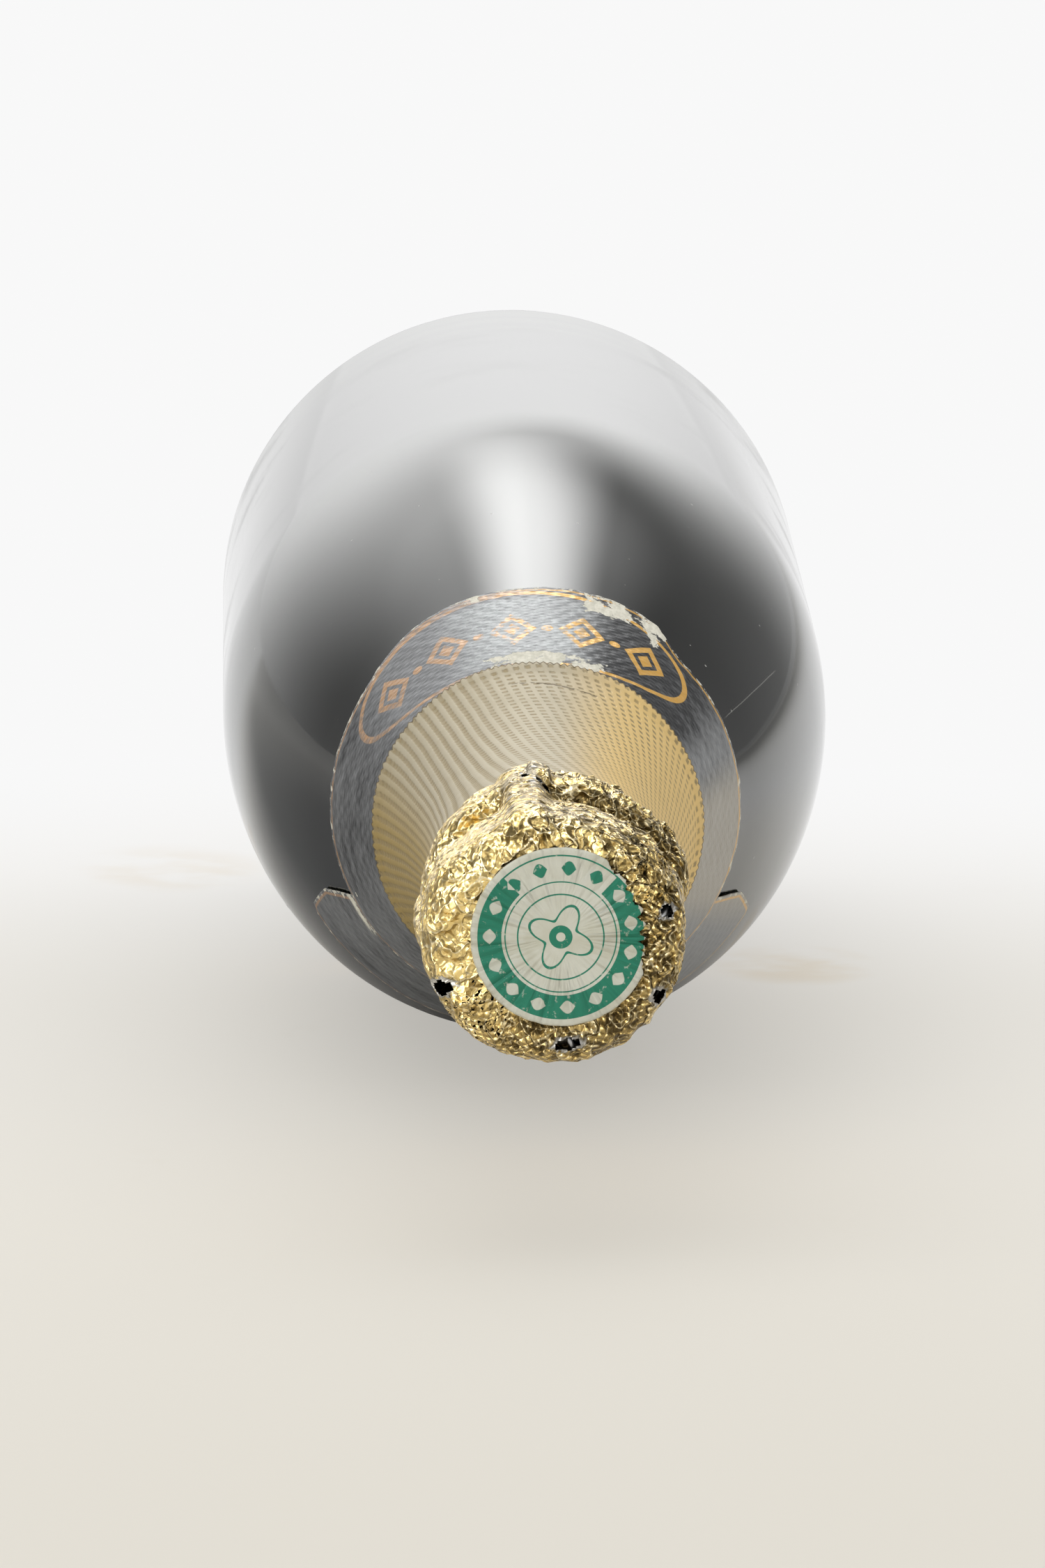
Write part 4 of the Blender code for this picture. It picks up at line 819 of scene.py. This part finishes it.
def lie_hood(u, v):
    """The crushed foil. Its marks: silver where the gold is worn off, crease for how hard it is folded, with painted
    shade added in the groove under the roll and on the top strip, and hole.
    """
    clock = (u - 0.5) * 2 * pi
    along = walked_along(hood_outline)
    height, radius = (np.interp(v * along[-1], along, hood_outline[:, i]) for i in range(2))
    azimuth = (90 - np.degrees(clock)) % 360

    # Drawn tight over the legs, snug on top and slack at the right, and bulging over the ring.
    beside = np.abs((azimuth - 12 + 45) % 90 - 45) * pi / 180 * radius
    over_leg = ramp(beside, 0.0042, 0.0012)
    over_leg = over_leg * over_leg * (3 - 2 * over_leg)
    ridge = np.interp(height, [h for h, r in ridge_line], [r for h, r in ridge_line])
    on_side = ramp(height, 0.3215, 0.3185)
    radius = radius + np.maximum(0, ridge - radius) * over_leg * on_side
    above_groove = ramp(height, 0.2995, 0.3035)
    snug = ramp(np.abs(azimuth - 96), 54, 40) * (1 - over_leg) * above_groove
    slack = np.clip(np.cos(np.radians(azimuth + 8)), 0, 1) * above_groove
    radius = radius + (0.0006 * slack - 0.0010 * snug) * ramp(radius, 0.008, 0.014)
    on_roll = ramp(height, ROLL_TOP, ROLL_TOP - 0.001)
    radius = radius + on_roll * np.interp(azimuth, bulges[:, 0], bulges[:, 1]) / 1000

    # Crushed by hand, in three sizes of crumple.
    swirl = 0.0006 * ruffle(height, clock, radius, 0.0045, 4.0)
    big = np.abs(ruffle(height + swirl, clock, radius, 0.0034, 1.5))
    small = np.abs(ruffle(height - swirl, clock, radius, 0.0015, 6.5))
    tiny = np.abs(ruffle(height, clock, radius, 0.0008, 8.5))
    right_side = np.clip(np.cos(np.radians(azimuth - 22)) * 1.5, 0, 1)
    blocks = np.clip(1.6 * np.sin(np.radians(azimuth) * 26 + 6 * big), -1, 1)
    blocks = blocks * np.clip(np.sin(height * 1400), -0.3, 1)
    smooth = 0.45 + 0.55 * np.clip(np.cos(np.radians(azimuth + 25)) + 0.9, 0, 1)
    smooth *= 1 - 0.45 * np.clip(-1.5 * np.sin(np.radians(azimuth)), 0, 1)
    push = -(0.00160 * big + 0.00070 * small + 0.00012 * tiny) * smooth + 0.00042
    push = push * (0.30 + 0.70 * ramp(radius, 0.0118, 0.0138))
    push = push + on_roll * ramp(height, 0.2865, 0.2885) * right_side * (0.0007 + 0.0003 * blocks)
    push = np.clip(push * (1 - 0.60 * over_leg * on_side) * (1 - 0.5 * snug), -0.0008, 0.0014)
    up_share = ramp(height, 0.3188, 0.3232)
    lift = np.where(up_share > 0.98, np.clip(push, -0.00030, 0.00040), push)
    height = height + lift * np.sin(up_share * pi / 2)
    radius = radius + push * np.cos(up_share * pi / 2) * ramp(radius, 0, 0.004)
    foot_wave = 0.0009 * ruffle(np.zeros_like(clock), clock, np.full_like(clock, 0.02), 0.0022, 3.0)
    height = np.where(v > 0.985, height + foot_wave * (v - 0.985) / 0.015, height)

    # Worn to silver on the torn lap, on the ridges, round the holes and along the top.
    above_foot = ramp(height, ROLL_FOOT, ROLL_FOOT + 0.001)
    flap = ramp(np.abs(azimuth - 94), 5.5, 4) * above_foot * ramp(height, 0.2970, 0.2960)
    radius = radius + flap * 0.0009
    silver = ramp(small, 0.40, 0.52) * 0.50 + flap * 0.75
    top_strip = ramp(np.abs(azimuth - 86), 34, 24) * ramp(height, 0.3195, 0.3175)
    top_strip *= ramp(height, ROLL_TOP, ROLL_TOP + 0.002)
    on_ridge = ramp(beside, 0.0013, 0) * ramp(height, 0.312, 0.309)
    silver = np.maximum(silver, np.maximum(top_strip * 0.42, on_ridge * 0.62))
    lap = ramp(np.abs(azimuth - 97), 6, 2) * ramp(height, 0.3055, 0.3040) * above_foot
    silver = np.maximum(silver, lap * (0.62 + 0.7 * small))
    hole = np.zeros_like(radius)
    for at, out, wide, long in holes:
        near = np.hypot(((azimuth - at + 180) % 360 - 180) * pi / 180 * out / wide,
                        (radius + (HOOD_TOP - height) * 0.25 - out) / long)
        near = near * (1 + 0.9 * (tiny - 0.2)) + np.where(height < 0.310, 9, 0)
        silver = np.maximum(silver, ramp(near, 2.5, 1.5))
        hole = np.maximum(hole, near < 1)
    for at, level, wide, tall in ((92.5, 0.2988, 2.6, 0.0010), (100.5, 0.2968, 2.0, 0.0009)):
        under_flap = np.hypot((azimuth - at) / wide, (height - level) / tall) * (1 + 0.8 * (tiny - 0.2))
        hole = np.maximum(hole, under_flap < 1)
        silver = np.maximum(silver, ramp(under_flap, 2, 1) * 0.9)
    # Painted shade: the crease mark darkens the groove under the roll and the top strip, as well as the folds.
    painted_groove_shade = ramp(np.abs(height - 0.2981), 0.00192, 0.00032) * (1 - over_leg) * 1.2
    depth = np.clip(big - 0.22, 0, 1) * 2.2 + np.clip(small - 0.25, 0, 1) * 1.4
    depth = np.clip(depth + painted_groove_shade + top_strip * (0.16 + 0.3 * big), 0, 1)
    return height, clock, radius, {"silver": np.clip(silver, 0, 1), "crease": depth, "hole": hole}


hood = laid_on("crushed_hood", 300, 150, lie_hood, 0, True)
torn = bmesh.new()
torn.from_mesh(hood.data)
mark = torn.verts.layers.float["hole"]
bmesh.ops.delete(torn, geom=[vertex for vertex in torn.verts if vertex[mark] > 0.5], context="VERTS")
torn.to_mesh(hood.data)
torn.free()
thicken(hood, FOIL)
bpy.ops.object.shade_smooth_by_angle(angle=radians(30))
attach(hood, "hood")
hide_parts("foil_hood")


def crushed_gold(name):
    """Gold lacquer over aluminium foil, pressed with small pyramids, silver where worn, with painted dark brown
    shade in its folds and painted highlights on their crests.
    """
    foil = new_finish(name)
    place, height, clock, off_axis = foil.on_bottle()
    silver = foil.mark("silver")
    crease = foil.mark("crease")
    low_right = clock.eased(0.2, 1.5).most(clock.eased(-2.0, -2.8))
    lit = clock.eased(-0.1, -0.9) * clock.eased(-3.0, -2.4)
    blotch = foil.grain(place, 0.0035, 3, 0.65)
    fine = foil.grain(place, 0.0007, 2, 0.6)
    wander = foil.add("TexNoise", {}, {"Vector": place, "Scale": 1 / 0.0024, "Detail": 1.0}, "Color")
    wander = foil.scaled(foil.vector("SUBTRACT", wander, (0.5, 0.5, 0.5)), 0.0016)
    crumpled = foil.vector("ADD", place, wander)
    first, second = foil.grain(crumpled, 0.0036, 1, 0.4), foil.grain(crumpled, 0.0017, 1, 0.4)
    fold, pucker = abs(first - 0.5) * 2, abs(second - 0.5) * 2
    facets = foil.tilted(crumpled, 0.0015, 0.32)
    # Painted highlight: pale gold along the crests of the folds.
    painted_crest_highlight = fold.eased(0.040, 0.010).most(pucker.eased(0.045, 0.010) * 0.8) * (1 - low_right * 0.2)
    # Painted shadow: dark brown on one side of each fold line.
    painted_fold_shadow = first.line(0.540, 0.014, 0.02).most(second.line(0.545, 0.014, 0.02) * 0.8) * (1 - lit * 0.5)
    outward = (off_axis - height) * (pi / 0.0018) + blotch * 1.5
    around = clock * 30
    studs = abs((around + outward).wave()) * abs((around - outward).wave())
    studded = low_right * 0.8 + 0.1
    # Painted shade and light: darker low on the right and in the grooves between the studs, paler on the lit left;
    # the blotches are the gold's own uneven tone.
    shade = low_right * 0.30 + blotch.eased(0.42, 0.7) * 0.30 + studs.eased(0.40, 0.05) * studded * 0.60
    colour = (shade - lit * 0.2).least(1.0).most(0.0).tint((0.96, 0.72, 0.29), (0.42, 0.29, 0.10))
    # Painted shade: dark brown in the folds, as strong as the crease mark, weaker on the lit left.
    painted_crease_shade = crease.eased(0.04, 0.50) * (0.80 - lit * 0.55)
    colour = painted_crease_shade.most(painted_fold_shadow * 0.85).tint(colour, (0.060, 0.038, 0.012))
    colour = (painted_crest_highlight * 0.85).tint(colour, (1.0, 0.86, 0.54))
    bare = (silver * 1.1 + (fine - 0.5) * 0.9 - 0.15).eased(0.45, 0.75)
    dull = fine.tint((0.15, 0.125, 0.08), (0.50, 0.45, 0.35))
    bright = fine.tint((0.35, 0.33, 0.29), (0.80, 0.78, 0.73))
    colour = bare.tint(colour, silver.eased(0.75, 0.95).tint(dull, bright))
    on_band = height.line(0.2925, 0.0030, 0.0006) * clock.eased(0.10, 0.25) * clock.eased(1.50, 1.30)
    blocks = (clock * 92 + blotch * 3).wave()
    # Painted shade in the crevices between the blocks on the roll.
    colour = (blocks.eased(-0.55, -0.80) * on_band * 0.5).tint(colour, (0.07, 0.045, 0.015))
    blocks = blocks.eased(-0.4, 0.4) * on_band
    calm = 1 - low_right * 0.70
    rough = foil.relief(fold * calm * -1, 0.0018, 0.9, foil.relief(pucker * calm * -1, 0.0008, 0.9))
    rough = foil.relief(facets * calm, 1.0, 1.0, rough)
    rough = foil.relief(studs * studded, 0.0009, 0.9, foil.relief(blocks, 0.0003, 0.9, rough))
    foil.surface(Base_Color=colour, Metallic=0.90, Roughness=0.24 + fine * 0.10 + bare * 0.20, Normal=rough)
    return foil.owner


gold = crushed_gold("crushed_gold")
hood.data.materials.append(gold)

# The tab is a tongue of the same gold foil, crumpled over the folded loop and clinging to its wire. It tears off
# with the loop when the bottle is opened.
TAB, TAB_OUT = 0.0058, 0.01856


def lie_tab(u, v):
    low, high = BELT + 0.0008, BELT + STEM + 2 * LOOP_BOW + WIRE + 0.0004
    height = low + v * (high - low)
    clock = LOOP_CLOCK + (u - 0.5) * 2 * TAB / TAB_OUT
    beside = np.abs(u - 0.5) * 2 * TAB
    over_stem = ramp(beside, 0.0022, 0.0014) * ramp(height, BELT + STEM + 0.001, BELT + STEM - 0.001)
    fold = np.abs(ruffle(height, clock, np.full_like(u, 0.0186), 0.0026, 7.0))
    fine = np.abs(ruffle(height, clock, np.full_like(u, 0.0186), 0.0011, 2.5))
    radius = TAB_OUT + 0.00044 * over_stem + 0.00030 * fold + 0.00018 * fine
    edge = np.minimum(np.minimum(u, 1 - u) * 2 * TAB, np.minimum(v, 1 - v) * (high - low))
    silver = np.maximum(over_stem * 0.6, ramp(edge, 0.0006, 0.0002) * 0.8)
    # The crease mark is painted dark as shade in the tab's folds.
    return height, clock, radius, {"silver": silver, "crease": np.clip(fold + fine, 0, 1)}


tab = laid_on("loop_foil_tab", 48, 90, lie_tab, FOIL)
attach(tab, "loop")
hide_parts("foil_tab")
tab.data.materials.append(gold)

# The seal is a round of thin off-white paper pasted on top of the foil, printed with a green ring and wrinkled in
# spokes by the foil under it. Its upper right edge is torn.
SEAL, SEAL_FOOT, SEAL_ASIDE, SEAL_UP, SEAL_PAPER = 0.01215, HOOD_TOP + 0.00045, 0.0012, 0.0003, 0.00012


def lie_seal(u, v):
    clock = (u - 0.5) * 2 * pi
    azimuth = np.degrees(pi / 2 - clock)
    spots = [noise.noise(Vector((cos(c) * 9, sin(c) * 9, 1.7))) for c in clock]
    rough = [noise.noise(Vector((cos(c) * 26, sin(c) * 26, 4.4))) for c in clock]
    torn = ramp(np.abs((azimuth - 18 + 180) % 360 - 180), 42, 34)
    rim = SEAL - 0.00012 * np.abs(spots) - torn * (0.0004 + 0.0014 * np.abs(spots) + 0.0009 * np.abs(rough))
    radius = v * rim
    spoke = np.abs([noise.noise(Vector((cos(c) * 9, sin(c) * 9, r * 160))) for c, r in zip(clock, radius)])
    spoke = spoke * ramp(v, 0.2, 0.7)
    height = SEAL_FOOT + 0.00016 * (0.5 - spoke) * ramp(v, 0.3125, 0.9375) - 0.00025 * ramp(v, 0.93, 1) ** 2
    aside, upward = radius * np.sin(clock) + SEAL_ASIDE, radius * np.cos(clock) + SEAL_UP
    return height, np.arctan2(aside, upward), np.hypot(aside, upward), {"spoke": spoke}


seal = laid_on("paper_seal", 240, 40, lie_seal, 0, True)
if seal.data.polygons[len(seal.data.polygons) // 2].normal.y > 0:
    seal.data.flip_normals()
thicken(seal, SEAL_PAPER)
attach(seal, "hood")
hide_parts("top_seal")

stamp = new_finish("seal_print")
place = stamp.add("TexCoord", output="Object")
x, y, z = stamp.split(place)
x, z = x - SEAL_ASIDE, z - (AXIS + SEAL_UP)
clock, off_axis = x.reckon("ARCTAN2", z), (x * x + z * z) ** 0.5
spoke = stamp.mark("spoke")
fibre = stamp.grain(place, 0.0009, 3, 0.6)
stain = stamp.grain(place, 0.006, 3, 0.6)
upper = clock.line(radians(-1), radians(43), 0.01)
ring = off_axis.line(0.0096, 0.0016, 0.00004) * (1 - upper)
beads = (clock * 15).wave() * 0.5 + 0.5
bead = (beads - abs(off_axis - 0.0096) * 620).eased(0.42, 0.50)
lines = off_axis.line(0.0111, 0.00009, 0.00004).most(off_axis.line(0.0075, 0.00007, 0.00004))
bars = (beads - abs(off_axis - 0.0094) * 520).eased(0.45, 0.53) * upper
petals = (clock * 4).wave() * 0.0011 + 0.0034
rosette = (off_axis - petals).line(0, 0.00016, 0.00006).most(off_axis.line(0.0011, 0.00045, 0.00006))
rosette = rosette.most(off_axis.line(0.0058, 0.00008, 0.00005))
green = (ring * (1 - bead * 0.95)).most(lines).most(bars).most(rosette)
green = green * (1 - fibre.eased(0.60, 0.70) * 0.6)
paper = stain.eased(0.4, 0.7).tint((0.70, 0.70, 0.60), (0.60, 0.59, 0.47))
colour = (green * 0.97).tint(paper, (0.002, 0.205, 0.120))
stamp.surface(Base_Color=colour, Roughness=0.5, Specular_IOR_Level=0.3,
              Normal=stamp.relief(spoke, 0.0007, 1.0, stamp.relief(fibre, 0.00006)))
seal.data.materials.append(stamp.owner)
